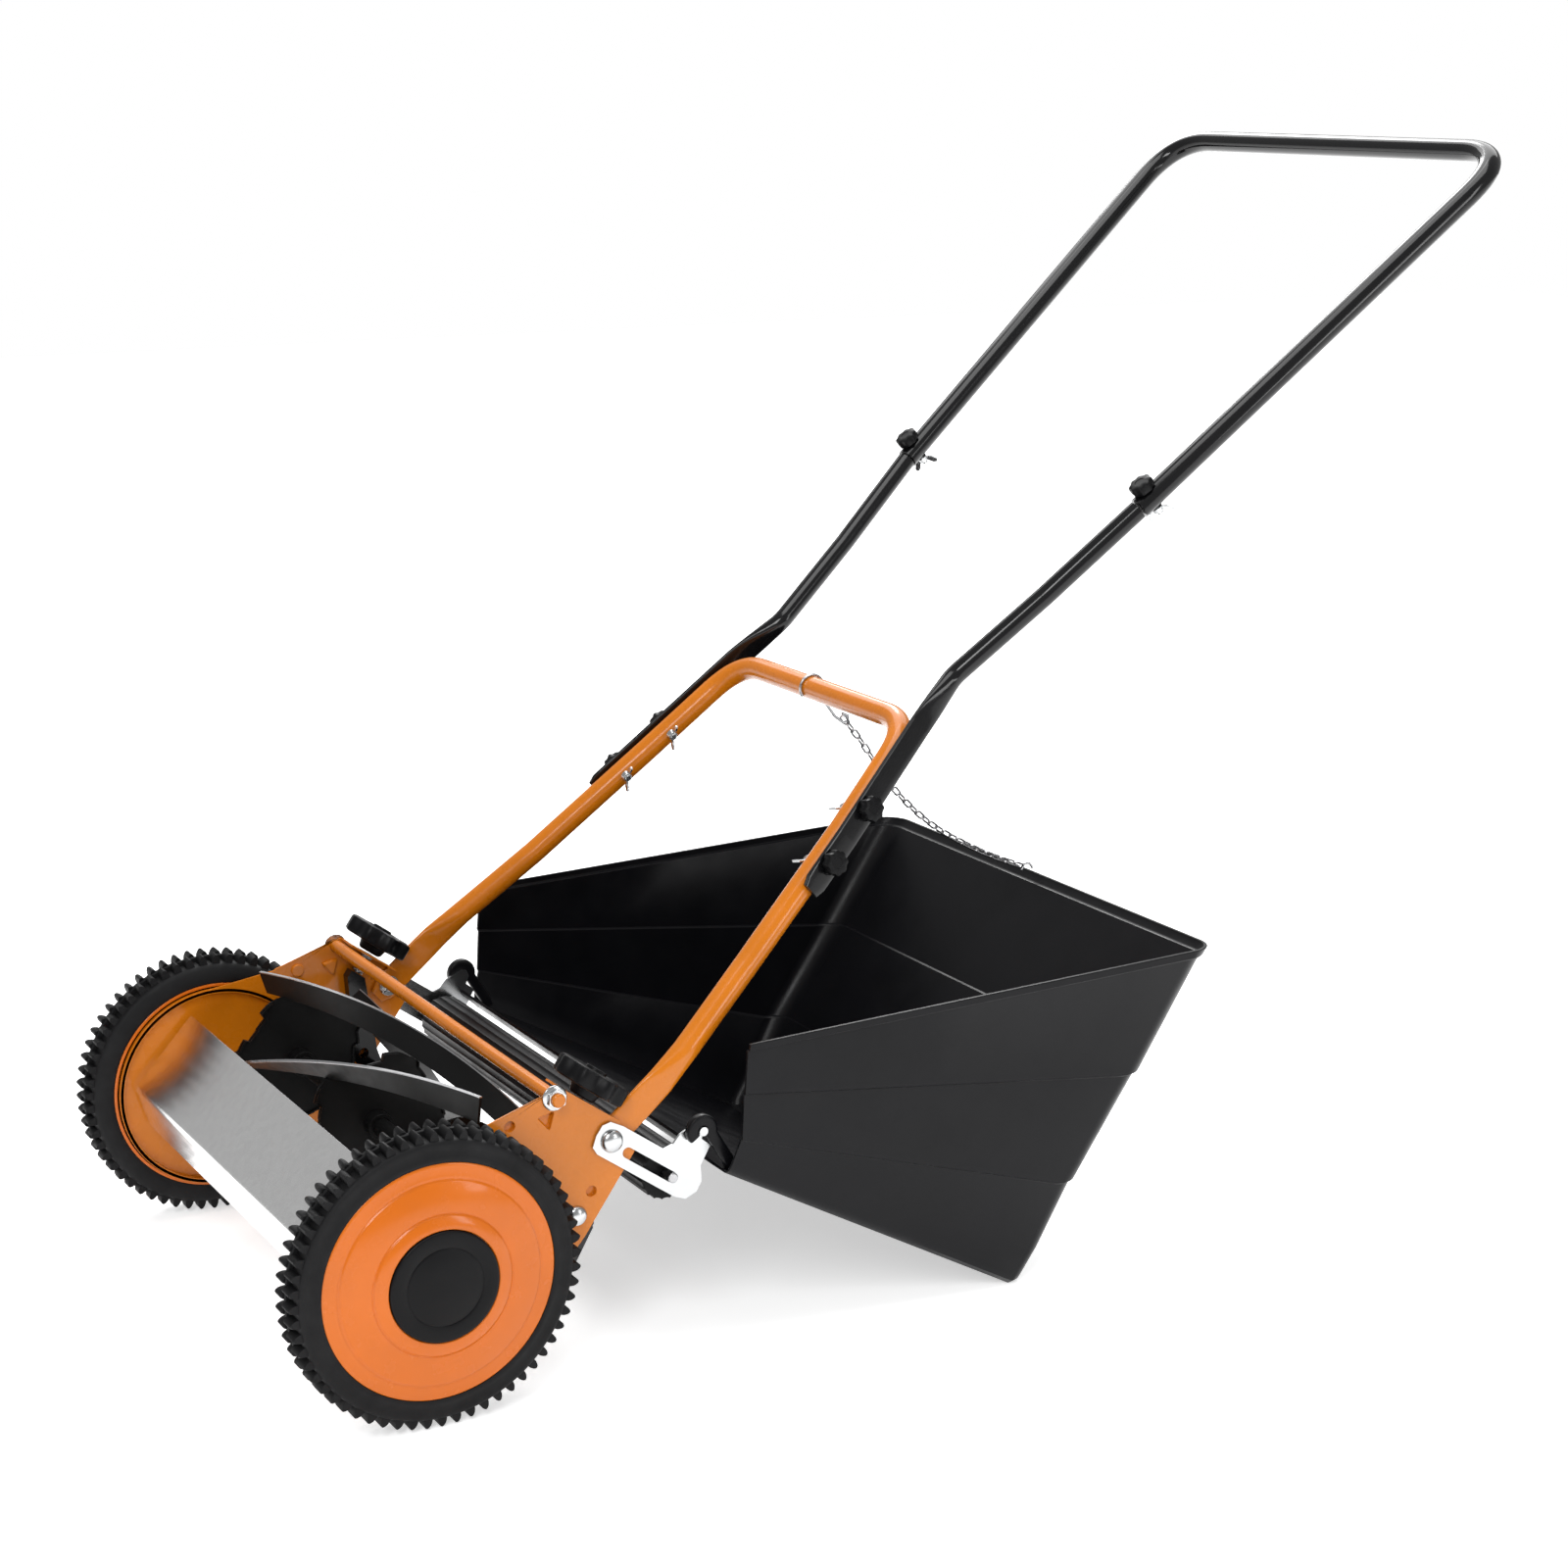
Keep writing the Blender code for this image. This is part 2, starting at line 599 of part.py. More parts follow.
NECK = Vector((200.4, 735.0, 561.0))
TOP_CORNER = Vector((HANDLE_HALF, HANDLE_REAR, HANDLE_TOP))


def on_side(vector, sign):
    return Vector((sign * vector.x, vector.y, vector.z))


def point_on_leg(y):
    """Point and direction of the left leg at a distance y behind the axle."""
    route = [Vector(p) for p in leg_route()]
    for a, b in zip(route, route[1:]):
        if a.y <= y <= b.y:
            direction = (b - a).normalized()
            return a + (b - a) * ((y - a.y) / (b.y - a.y)), direction
    return route[-1], (route[-1] - route[-2]).normalized()


CLAMP_PLACES = (407.0, 451.0)
NECK_BOLT = 15.0               # distance of the neck bolt above the neck


def clamp_bolts():
    """Name, side sign, point, outward axis and grip of each clamp bolt."""
    bolts = []
    for side, sign in SIDES:
        for number, y in enumerate(CLAMP_PLACES):
            point, direction = point_on_leg(y)
            outward = Vector((1, 0, 0)) - direction * direction.x
            outward.normalize()
            bolts.append(("%s_%d" % (side, number + 1), on_side(point, sign), on_side(outward, sign),
                          LEG_R + STRAP_T + 2.4, LEG_R + 0.5))
        along = (TOP_CORNER - NECK).normalized()
        point = NECK + along * NECK_BOLT
        up = Vector((0, -along.z, along.y)).normalized()
        up = (up - along * up.dot(along)).normalized()
        bolts.append(("%s_3" % side, on_side(point, sign), on_side(up, sign),
                      GRIP_R + 0.4, GRIP_R + 0.4))
    return bolts


def x_to(axis):
    """Rotation that takes +X to the axis."""
    return Vector((1, 0, 0)).rotation_difference(axis)


def clamps(frame, tubes):
    """Bolts with round knobs, their wing nuts, and the holes they pass."""
    for name, point, axis, above, below in clamp_bolts():
        hinge = new_empty("clamp_axis_" + name, frame, point)
        hinge.rotation_mode = "QUATERNION"
        hinge.rotation_quaternion = x_to(axis)
        count = 16
        grip = lobed(12.0, 1.6, 8, count)
        rim = lobed(10.4, 1.2, 8, count)
        shank = circle(BOLT_R, count, start=0)
        add_piece("clamp_knob_" + name, stacked([
            (-below - 8.0, shank), (above, shank), (above, rim), (above + 1.5, grip),
            (above + 7.5, grip), (above + 9.5, rim)]), "black_plastic", hinge)
        nut = prism(wing_outline(count, 5.6, 13.0), -below - 6.5, -below,
                    [circle(HOLE_R, count, start=0)])
        add_piece("clamp_nut_" + name, nut, "zinc", frame, point, x_to(axis))
        bore = turned([(-40.0, HOLE_R), (40.0, HOLE_R)], 10)
        drill = add_piece("clamp_drill_" + name, bore, "steel", frame, point, x_to(axis))
        for tube in tubes[name]:
            boolean(tube, drill, "DIFFERENCE")


def handles(frame):
    strap, round_leg = (STRAP_T / 2, 14.0, 0.55), (LEG_R, LEG_R, 1.0)
    leg = leg_route()
    route = fillet([*leg, *mirrored(leg)], 52.0, 5)
    sections = []
    for point in route:
        blend = min(1.0, max(0.0, (point.y - 212.0) / 45.0))
        sections.append(tuple(a + (b - a) * blend for a, b in zip(strap, round_leg)))
    lower = add_piece("lower_handle", sweep(route, sections, (1, 0, 0)), "orange_paint", frame)
    strap, round_mid = (STRAP_T / 2, 12.0, 0.55), (MID_R, MID_R, 1.0)
    along = (TOP_CORNER - NECK).normalized()
    middles = {}
    for side, sign in SIDES:
        route = [on_side(p, sign) for p in fillet(mid_route(), 30.0, 4)]
        sections = []
        for point in route:
            blend = min(1.0, max(0.0, (point.y - 528.0) / 40.0))
            sections.append(tuple(a + (b - a) * blend for a, b in zip(strap, round_mid)))
        for reach, radius in ((0.6, MID_R), (1.2, 7.2), (26.0, 7.2)):
            route.append(on_side(NECK + along * reach, sign))
            sections.append((radius, radius, 1.0))
        middles[side] = add_piece("mid_tube_" + side, sweep(route, sections, (1, 0, 0)),
                                  "black_paint", frame)
    start = NECK + along * 2.6
    corners = [start, TOP_CORNER, on_side(TOP_CORNER, -1), on_side(start, -1)]
    route = fillet(corners, 56.0, 6)
    upper = add_piece("upper_handle", sweep(route, [(GRIP_R, GRIP_R, 1.0)] * len(route), (1, 0, 0)),
                      "black_paint", frame)
    tubes = {}
    for side, sign in SIDES:
        socket = turned([(-6.0, 8.0), (28.0, 8.0)], 14)
        tool = add_piece("socket_" + side, socket, "steel", frame, on_side(NECK, sign),
                         x_to(on_side(along, sign)))
        boolean(upper, tool, "DIFFERENCE")
        for number in (1, 2):
            tubes["%s_%d" % (side, number)] = (lower, middles[side])
        tubes["%s_3" % side] = (upper, middles[side])
        bore = turned([(sign * 230.0, 4.0 + GAP), (sign * 262.0, 4.0 + GAP)], 12)
        drill = add_piece("foot_drill_" + side, bore, "steel", frame, (0, 173.8, 75.8))
        boolean(lower, drill, "DIFFERENCE")
    clamps(frame, tubes)


# --------------------------------------------------------------------- catcher

def level(side, rear, radius, front, z_front, z_rear, lift=0.0, arc=3):
    """One level of the catcher: a U from the front, round the rear, forward.
    Its height falls evenly from z_front to z_rear and is flat on the heel."""
    run = rear - radius - front
    points = [(side, front), (side, front + run * 0.5)]
    for i in range(arc + 1):
        angle = math.radians(90 * i / arc)
        points.append((side - radius + radius * math.cos(angle), rear - radius + radius * math.sin(angle)))
    points += [(-x, y) for x, y in reversed(points)]
    level_points = []
    for x, y in points:
        share = min(1.0, (y - front) / run)
        level_points.append(Vector((x, y, z_front + (z_rear - z_front) * share + lift)))
    return level_points


def catcher(axis, origin):
    """Open-topped, open-fronted tub with stepped walls, a lip and two hooks."""
    heel_z = -TYRE_R
    rows = [
        (CATCHER_HALF + 1.0, 778.0, 28.0, 289.0, 150.5, 165.0),
        (CATCHER_HALF + 1.0, 772.0, 27.0, 288.0, 145.0, 157.5),
        (CATCHER_HALF - 2.0, 770.0, 26.0, 288.0, 144.6, 157.0),
        (CATCHER_HALF - 1.0, 704.0, 26.0, 285.0, 107.0, 57.5),
        (CATCHER_HALF - 3.5, 701.0, 26.0, 285.0, 106.0, 56.5),
        (CATCHER_HALF - 3.0, 636.0, 24.0, 283.0, 66.0, -35.0),
        (CATCHER_HALF - 5.5, 633.0, 24.0, 283.0, 65.0, -36.0),
        (CATCHER_HALF - 11.0, 582.0, 15.0, 276.0, 40.0, heel_z + 9.0),
        (CATCHER_HALF - 18.5, HEEL_Y, HEEL_R, 274.0, 33.0, heel_z),
    ]
    outer = [level(*row) for row in rows]
    inner = []
    for number, (side, rear, radius, front, z_front, z_rear) in enumerate(rows):
        floor = WALL if number == len(rows) - 1 else 0.0
        inner.append(level(side - WALL, rear - WALL, radius - WALL, front, z_front, z_rear, floor))
    bm = bmesh.new()
    skins = []
    for skin in (outer, inner):
        grid = [[bm.verts.new(p) for p in row] for row in skin]
        for upper, under in zip(grid, grid[1:]):
            for j in range(len(upper) - 1):
                bm.faces.new((upper[j], upper[j + 1], under[j + 1], under[j]))
        base = grid[-1]
        count = len(base)
        for j in range(count // 2 - 1):
            bm.faces.new((base[j], base[j + 1], base[count - 2 - j], base[count - 1 - j]))
        skins.append(grid)
    half = PLATE_IN - 3.0
    lips = []
    for lift, back in ((0.0, 0.0), (WALL, 1.0)):
        lip = [(half, 272.0 + back, 34.5), (half, 249.0 + back, 57.0)]
        lips.append([bm.verts.new((x, y, z + lift)) for x, y, z in
                     (lip[0], lip[1], (-half, *lip[1][1:]), (-half, *lip[0][1:]))])
    for grid, lip in zip(skins, lips):
        base = grid[-1]
        bm.faces.new((base[0], lip[0], lip[3], base[-1]))
        bm.faces.new((lip[0], lip[1], lip[2], lip[3]))
    outer_lip, inner_lip = lips
    for a, b in ((0, 1), (1, 2), (2, 3)):
        bm.faces.new((outer_lip[a], outer_lip[b], inner_lip[b], inner_lip[a]))
    for end, corner in ((0, 0), (-1, 3)):
        bm.faces.new((skins[0][-1][end], outer_lip[corner], inner_lip[corner], skins[1][-1][end]))
        for outer_row, outer_next, inner_row, inner_next in zip(skins[0], skins[0][1:],
                                                                skins[1], skins[1][1:]):
            bm.faces.new((outer_row[end], outer_next[end], inner_next[end], inner_row[end]))
    rim_outer, rim_inner = skins[0][0], skins[1][0]
    for j in range(len(rim_outer) - 1):
        bm.faces.new((rim_outer[j], rim_outer[j + 1], rim_inner[j + 1], rim_inner[j]))
    bmesh.ops.translate(bm, verts=bm.verts[:], vec=-Vector(origin))
    tub = add_piece("catcher", bm, "catcher_plastic", axis)
    for side, sign in SIDES:
        route = [Vector((sign * HOOK_X, 283.0, 31.5)), Vector((sign * HOOK_X, 276.0, 50.0))]
        for degrees in range(-20, 221, 24):
            angle = math.radians(degrees)
            route.append(Vector((sign * HOOK_X, origin[1] + 7.1 * math.cos(angle),
                                 origin[2] + 7.1 * math.sin(angle))))
        route = [p - Vector(origin) for p in route]
        wire = sweep(route, [(2.5, 2.5, 1.0)] * len(route), (1, 0, 0), 8)
        hook = add_piece("hook_" + side, wire, "catcher_plastic", axis)
        boolean(tub, hook, "UNION")


def chain(frame):
    """Chain from a wire hook over the cross tube to the catcher's rear rim."""
    reach = LEG_R + CHAIN_R + 0.8
    route = []
    for degrees in range(190, -21, -30):
        angle = math.radians(degrees)
        route.append((CHAIN_X, CROSS_Y + reach * math.cos(angle), CROSS_Z + reach * math.sin(angle)))
    route += [(CHAIN_X, 536.0, 357.0), (CHAIN_X, 561.0, 338.0), (CHAIN_X, 590.0, 301.0),
              (CHAIN_X, 619.0, 263.0), (CHAIN_X, 660.0, 226.0), (CHAIN_X, 715.0, 193.5),
              (CHAIN_X, 752.0, 176.5), (CHAIN_X, 773.0, 168.3)]
    points = smooth_route(route, 2)
    curve = bpy.data.curves.new("chain", "CURVE")
    curve.dimensions = "3D"
    curve.bevel_depth = CHAIN_R * MM
    curve.bevel_resolution = 1
    curve.use_fill_caps = True
    spline = curve.splines.new("POLY")
    spline.points.add(len(points) - 1)
    for slot, point in zip(spline.points, points):
        slot.co = (*(point * MM), 1.0)
    curve.materials.append(MATERIALS["zinc"])
    obj = bpy.data.objects.new("chain", curve)
    bpy.context.collection.objects.link(obj)
    obj.parent = frame


# ------------------------------------------------------------------ the machine

SIDES = (("left", 1), ("right", -1))
clear_scene()
MATERIALS = {name: make_material(name, *look) for name, look in PALETTE.items()}


def plate_to_frame(u, v):
    """A point in the plates' axes, as (y, z) from the wheel axle."""
    tilt = math.radians(PLATE_TILT)
    return u * math.cos(tilt) + v * math.sin(tilt), -u * math.sin(tilt) + v * math.cos(tilt)


def build():
    frame = new_empty("mower_frame", None, (0, AXLE_Y, AXLE_Z))
    plate_axes = new_empty("plate_axes", frame, (0, 0, 0), -PLATE_TILT)
    wheel_axes = {side: new_empty("wheel_axis_" + side, frame, (0, 0, 0)) for side, _ in SIDES}
    reel_axis = new_empty("reel_axis", frame, (0, REEL_Y, REEL_Z))
    knife_axis = new_empty("knife_axis", plate_axes, (0, *KNIFE_PIVOT))
    knob_axes = {side: new_empty("adjuster_axis_" + side, plate_axes,
                                 (sign * ADJUSTER_X, ADJUSTER_U, ARM_TOP)) for side, sign in SIDES}
    carriage = new_empty("roller_carriage", plate_axes, (0, ROLLER_U, ROLLER_V))
    roller_axis = new_empty("roller_axis", carriage, (0, 0, 0))
    hook_centre = (0.0, *plate_to_frame(*HOOK_PIN))
    catcher_axis = new_empty("catcher_axis", frame, hook_centre)

    side_plates(frame, plate_axes)
    tie_rod(plate_axes)
    front_guard(frame)
    axles_and_bearings(frame)
    wheels(wheel_axes)
    reel(reel_axis)
    bed_knife(knife_axis, plate_axes)
    adjusters(knob_axes, plate_axes)
    roller_brackets(plate_axes)
    roller(carriage, roller_axis)
    handles(frame)
    catcher(catcher_axis, hook_centre)
    chain(frame)


build()
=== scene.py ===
"""Looks of the reel mower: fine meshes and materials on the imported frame.

Lengths are millimetres unless a comment says otherwise, and angles degrees. The
meshes of both sides are made for the left one, at +X, and flipped for the other.
"""
import json
import math

import bmesh
import bpy
from mathutils import Matrix, Vector


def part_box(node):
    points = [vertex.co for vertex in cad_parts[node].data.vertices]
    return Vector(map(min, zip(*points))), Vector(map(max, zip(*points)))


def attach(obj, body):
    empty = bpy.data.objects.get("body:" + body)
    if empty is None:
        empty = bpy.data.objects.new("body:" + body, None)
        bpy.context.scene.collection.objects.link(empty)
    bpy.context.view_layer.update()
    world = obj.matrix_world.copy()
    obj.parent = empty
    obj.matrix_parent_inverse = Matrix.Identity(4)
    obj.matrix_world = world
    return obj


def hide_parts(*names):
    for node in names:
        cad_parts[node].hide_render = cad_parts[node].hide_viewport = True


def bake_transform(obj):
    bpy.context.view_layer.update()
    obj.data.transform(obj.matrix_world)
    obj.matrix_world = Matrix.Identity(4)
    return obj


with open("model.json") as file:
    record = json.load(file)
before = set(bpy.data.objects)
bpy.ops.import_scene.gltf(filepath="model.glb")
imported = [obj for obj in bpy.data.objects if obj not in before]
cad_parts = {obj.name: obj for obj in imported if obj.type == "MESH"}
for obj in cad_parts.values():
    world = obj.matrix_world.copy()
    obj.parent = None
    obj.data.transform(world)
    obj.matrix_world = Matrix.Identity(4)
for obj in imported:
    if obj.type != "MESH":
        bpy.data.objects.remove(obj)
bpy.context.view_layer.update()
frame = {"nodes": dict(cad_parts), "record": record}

MM = 0.001
SIDES = (("left", 1), ("right", -1))

# ------------------------------------------------------------------------- places
# AXES starts on the wheels' axis, which comes from the frame. Y goes to the rear.

wheel_low, wheel_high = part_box("wheel_left")
AXLE = Vector((0.0, (wheel_low.y + wheel_high.y) / 2, (wheel_low.z + wheel_high.z) / 2))
AXES = Matrix.Translation(AXLE) @ Matrix.Scale(MM, 4)
REEL_CENTRE = (0.0, 61.8, 32.0)
REEL_AXES = AXES @ Matrix.Translation(REEL_CENTRE)

# PLATE turns with the side plates, which lean back: u to the rear and v upward.
PLATE_TILT = math.radians(35.5)
PLATE = AXES @ Matrix.Rotation(-PLATE_TILT, 4, "X")
PLATE_IN = 249.0
PLATE_OUT = 251.0
FLANGE_V = 180.4
DRUM_R = 97.0
TIE_ROD = (29.3, 170.7)
KNIFE_PIVOT = (107.0, 94.0)
BRACKET_BOLT = (97.5, 162.6)
ADJUSTER_U = 58.0
ADJUSTER_X = 239.5
ROLLER_AXIS = (167.5, 160.5)
HOOK_PIN = (166.5, 207.5)
HOOK_X = 258.2

# Reel
BLADES = 5
PHASE = 131.6
TWIST = -0.22                  # degrees per millimetre along X
REEL_HALF = 218.0
REEL_R = 90.0
BLADE_IN = 67.0                # radius of the blades' inner edge
SPIDER_X = (-196.0, 0.0, 196.0)

# Handles
FOOT_X = 246.4
LEG_R = 11.0
CROSS_Y = 521.6
CROSS_Z = 378.4
STRAP_T = 4.4
MID_R = 9.3
GRIP_R = 10.3
NECK = Vector((200.4, 735.0, 561.0))
TOP_CORNER = Vector((259.3, 1104.3, 873.0))
ALONG = (TOP_CORNER - NECK).normalized()

# Catcher and chain
CATCHER_HALF = 285.0
WALL = 2.6
HEEL_Z = -127.5
CHAIN_X = -20.0

# Camera, lamps and floor, in metres and watts
LENS = 68.4
CAMERA_FROM_AXLE = Vector((2.3785, -0.8465, 0.9491))
CAMERA_TILT = 76.4685          # up from looking straight down
CAMERA_HEADING = 60.8455
SURROUND = 0.5                 # strength of the white that lights the mower
WHITE = (1.0, 1.0, 1.0, 1.0)
FLOOR_HALF = 9.0
FLOOR_GLOW = 0.55
LAMPS = (                      # name, place, target, size, power
    ("key", (2.2, -1.9, 2.4), (0.0, 0.0, 0.3), (0.9, 1.6), 46.0),
    ("side", (3.0, 1.4, 1.3), (0.0, 0.1, 0.3), (0.5, 1.8), 16.0),
    ("rear", (-2.4, 1.4, 2.4), (0.0, 0.2, 0.3), (0.8, 1.6), 34.0),
    ("top", (0.3, 0.0, 3.4), (0.0, 0.0, 0.0), (2.0, 2.0), 44.0),
    ("far", (-4.0, 3.0, 4.5), (-4.0, 3.0, 0.0), (7.0, 7.0), 420.0))


# ------------------------------------------------------------------- camera, light

def add_camera():
    data = bpy.data.cameras.new("camera")
    data.sensor_width = 36.0
    data.lens = LENS
    data.clip_end = 50.0
    camera = bpy.data.objects.new("camera", data)
    bpy.context.scene.collection.objects.link(camera)
    camera.location = AXLE + CAMERA_FROM_AXLE
    camera.rotation_euler = (math.radians(CAMERA_TILT), 0.0, math.radians(CAMERA_HEADING))
    bpy.context.scene.camera = camera


def area_light(name, place, target, size, power):
    data = bpy.data.lights.new(name, "AREA")
    data.shape = "RECTANGLE"
    data.size, data.size_y = size
    data.energy = power
    lamp = bpy.data.objects.new(name, data)
    bpy.context.scene.collection.objects.link(lamp)
    lamp.location = place
    lamp.rotation_euler = (Vector(target) - Vector(place)).to_track_quat("-Z", "Y").to_euler()


def add_world():
    """White behind the mower and a softer white in what it reflects."""
    world = bpy.data.worlds.new("studio")
    world.use_nodes = True
    tree = world.node_tree
    shown = tree.nodes["Background"]
    shown.inputs["Color"].default_value = WHITE
    around = tree.nodes.new("ShaderNodeBackground")
    around.inputs["Strength"].default_value = SURROUND
    path = tree.nodes.new("ShaderNodeLightPath")
    mix = tree.nodes.new("ShaderNodeMixShader")
    tree.links.new(path.outputs["Is Camera Ray"], mix.inputs["Fac"])
    tree.links.new(around.outputs["Background"], mix.inputs[1])
    tree.links.new(shown.outputs["Background"], mix.inputs[2])
    tree.links.new(mix.outputs["Shader"], tree.nodes["World Output"].inputs["Surface"])
    bpy.context.scene.world = world


def add_floor():
    """A pale floor that glows a little, so that it fades into the white."""
    look = LOOKS["floor"]
    shader = look.node_tree.nodes["Principled BSDF"]
    shader.inputs["Emission Color"].default_value = WHITE
    shader.inputs["Emission Strength"].default_value = FLOOR_GLOW
    bm = bmesh.new()
    bmesh.ops.create_grid(bm, x_segments=1, y_segments=1, size=FLOOR_HALF)
    mesh = bpy.data.meshes.new("floor")
    bm.to_mesh(mesh)
    bm.free()
    mesh.materials.append(look)
    floor = bpy.data.objects.new("floor", mesh)
    bpy.context.scene.collection.objects.link(floor)


def add_studio():
    add_world()
    for lamp in LAMPS:
        area_light(*lamp)
    add_floor()


# ----------------------------------------------------------------------- materials

class Look:
    """A node material under construction: a Principled shader and helpers."""

    def __init__(self, name, roughness, metallic=0.0, coat=0.0, specular=0.5):
        self.mat = bpy.data.materials.new(name)
        self.mat.use_nodes = True
        self.tree = self.mat.node_tree
        self.shader = self.tree.nodes["Principled BSDF"]
        self.shader.inputs["Roughness"].default_value = roughness
        self.shader.inputs["Metallic"].default_value = metallic
        self.shader.inputs["Coat Weight"].default_value = coat
        self.shader.inputs["Coat Roughness"].default_value = 0.08
        self.shader.inputs["Specular IOR Level"].default_value = specular
        self.coords = self.tree.nodes.new("ShaderNodeTexCoord").outputs["Object"]
        self.height = None

    def noise(self, scale, detail=3.0, stretch=(1.0, 1.0, 1.0)):
        mapping = self.tree.nodes.new("ShaderNodeMapping")
        mapping.inputs["Scale"].default_value = stretch
        self.tree.links.new(self.coords, mapping.inputs["Vector"])
        node = self.tree.nodes.new("ShaderNodeTexNoise")
        node.inputs["Scale"].default_value = scale
        node.inputs["Detail"].default_value = detail
        self.tree.links.new(mapping.outputs["Vector"], node.inputs["Vector"])
        return node.outputs["Fac"]

    def cells(self, scale):
        node = self.tree.nodes.new("ShaderNodeTexVoronoi")
        node.inputs["Scale"].default_value = scale
        self.tree.links.new(self.coords, node.inputs["Vector"])
        return node.outputs["Color"]

    def ramp(self, value, low, high, start=0.3, end=0.7):
        node = self.tree.nodes.new("ShaderNodeValToRGB")
        node.color_ramp.elements[0].position = start
        node.color_ramp.elements[1].position = end
        node.color_ramp.elements[0].color = (*low, 1.0)
        node.color_ramp.elements[1].color = (*high, 1.0)
        self.tree.links.new(value, node.inputs["Fac"])
        return node.outputs["Color"]

    def colour(self, socket):
        self.tree.links.new(socket, self.shader.inputs["Base Color"])

    def rough(self, value, low, high):
        self.tree.links.new(self.ramp(value, (low,) * 3, (high,) * 3), self.shader.inputs["Roughness"])

    def bump(self, value, distance, strength=1.0):
        node = self.tree.nodes.new("ShaderNodeBump")
        node.inputs["Distance"].default_value = distance
        node.inputs["Strength"].default_value = strength
        self.tree.links.new(value, node.inputs["Height"])
        if self.height is not None:
            self.tree.links.new(self.height, node.inputs["Normal"])
        self.height = node.outputs["Normal"]
        self.tree.links.new(self.height, self.shader.inputs["Normal"])


def tint(colour, factor):
    return tuple(min(1.0, c * factor) for c in colour)


def paint(name, colour, roughness, coat, peel=0.00003, specular=0.35):
    """Sprayed paint: orange peel, faint shade changes, uneven gloss."""
    look = Look(name, roughness, coat=coat, specular=specular)
    look.colour(look.ramp(look.noise(14.0, 4.0), tint(colour, 0.93), tint(colour, 1.05)))
    look.rough(look.noise(60.0, 5.0), roughness * 0.85, roughness * 1.25)
    look.bump(look.noise(900.0, 2.0), peel, 0.35)
    return look.mat


def plastic(name, colour, roughness, grain_scale, grain, mottle=0.12, specular=0.22):
    """Moulded plastic with a fine spark-eroded grain and handling marks."""
    look = Look(name, roughness, specular=specular)
    look.colour(look.ramp(look.noise(9.0, 5.0), tint(colour, 1 - mottle), tint(colour, 1 + mottle)))
    look.rough(look.noise(35.0, 6.0), roughness * 0.85, roughness * 1.2)
    look.bump(look.noise(grain_scale, 2.0), grain, 0.5)
    return look.mat


def plated(name, colour, roughness, spangle):
    """Zinc or bare steel: faint crystal patches and drawn scratches."""
    look = Look(name, roughness, metallic=1.0)
    dark, light = tint(colour, 1 - spangle), tint(colour, 1 + spangle)
    look.colour(look.ramp(look.cells(160.0), dark, light, 0.1, 0.9))
    look.rough(look.noise(90.0, 4.0, (0.2, 1.0, 1.0)), roughness * 0.9, roughness * 1.12)
    look.bump(look.noise(240.0, 1.0, (0.03, 1.0, 1.0)), 0.000004, 0.08)
    return look.mat


def rubber(name, colour):
    """Dull tyre rubber, dusty in places and slightly rough."""
    look = Look(name, 0.45, specular=0.18)
    look.colour(look.ramp(look.noise(20.0, 6.0), tint(colour, 0.85), tint(colour, 1.5), 0.35, 0.75))
    look.rough(look.noise(80.0, 5.0), 0.52, 0.74)
    look.bump(look.noise(700.0, 3.0), 0.00012, 0.5)
    return look.mat


LOOKS = {
    "orange_paint": paint("orange_paint", (0.56, 0.158, 0.004), 0.26, 0.35, 0.00003, 0.25),
    "orange_plastic": paint("orange_plastic", (0.57, 0.125, 0.004), 0.24, 0.25, 0.00002, 0.25),
    "black_paint": paint("black_paint", (0.004, 0.004, 0.0045), 0.14, 0.2, 0.00003, 0.3),
    "reel_paint": paint("reel_paint", (0.005, 0.005, 0.005), 0.34, 0.0, 0.00002, 0.15),
    "zinc": plated("zinc", (0.56, 0.57, 0.575), 0.24, 0.02),
    "zinc_sheet": plated("zinc_sheet", (0.93, 0.93, 0.93), 0.22, 0.02),
    "steel": plated("steel", (0.44, 0.44, 0.45), 0.28, 0.05),
    "black_plastic": plastic("black_plastic", (0.0035, 0.0035, 0.004), 0.38, 1500.0, 0.00008,
                             0.15, 0.13),
    "catcher_plastic": plastic("catcher_plastic", (0.0035, 0.0035, 0.0045), 0.34, 1100.0, 0.00008,
                               0.2, 0.17),
    "tyre_rubber": rubber("tyre_rubber", (0.006, 0.006, 0.0065)),
    "floor": plastic("floor", (0.93, 0.93, 0.93), 0.9, 60.0, 0.00002, 0.01, 0.1),
}


# ---------------------------------------------------------------------- mesh tools

def make(name, bm, look, body, matrix, nodes=(), bevel=0.0, angle=35.0):
    """One visible piece: placed in the row frame, riding on its body."""
    bmesh.ops.recalc_face_normals(bm, faces=bm.faces[:])
    mesh = bpy.data.meshes.new(name)
    bm.to_mesh(mesh)
    bm.free()
    mesh.transform(matrix)
    if matrix.determinant() < 0:
        mesh.flip_normals()
    mesh.materials.append(LOOKS[look])
    mesh.shade_smooth()
    mesh.set_sharp_from_angle(angle=math.radians(angle))
    obj = bpy.data.objects.new(name, mesh)
    bpy.context.scene.collection.objects.link(obj)
    if bevel:
        add_bevel(obj, bevel)
    if body:
        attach(obj, body)
    if nodes:
        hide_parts(*nodes)
    return obj


def add_bevel(obj, width):
    modifier = obj.modifiers.new("edge", "BEVEL")
    modifier.width = width * MM
    modifier.segments = 2
    modifier.limit_method = "ANGLE"
    modifier.angle_limit = math.radians(40)
    modifier.harden_normals = True
    modifier.use_clamp_overlap = True


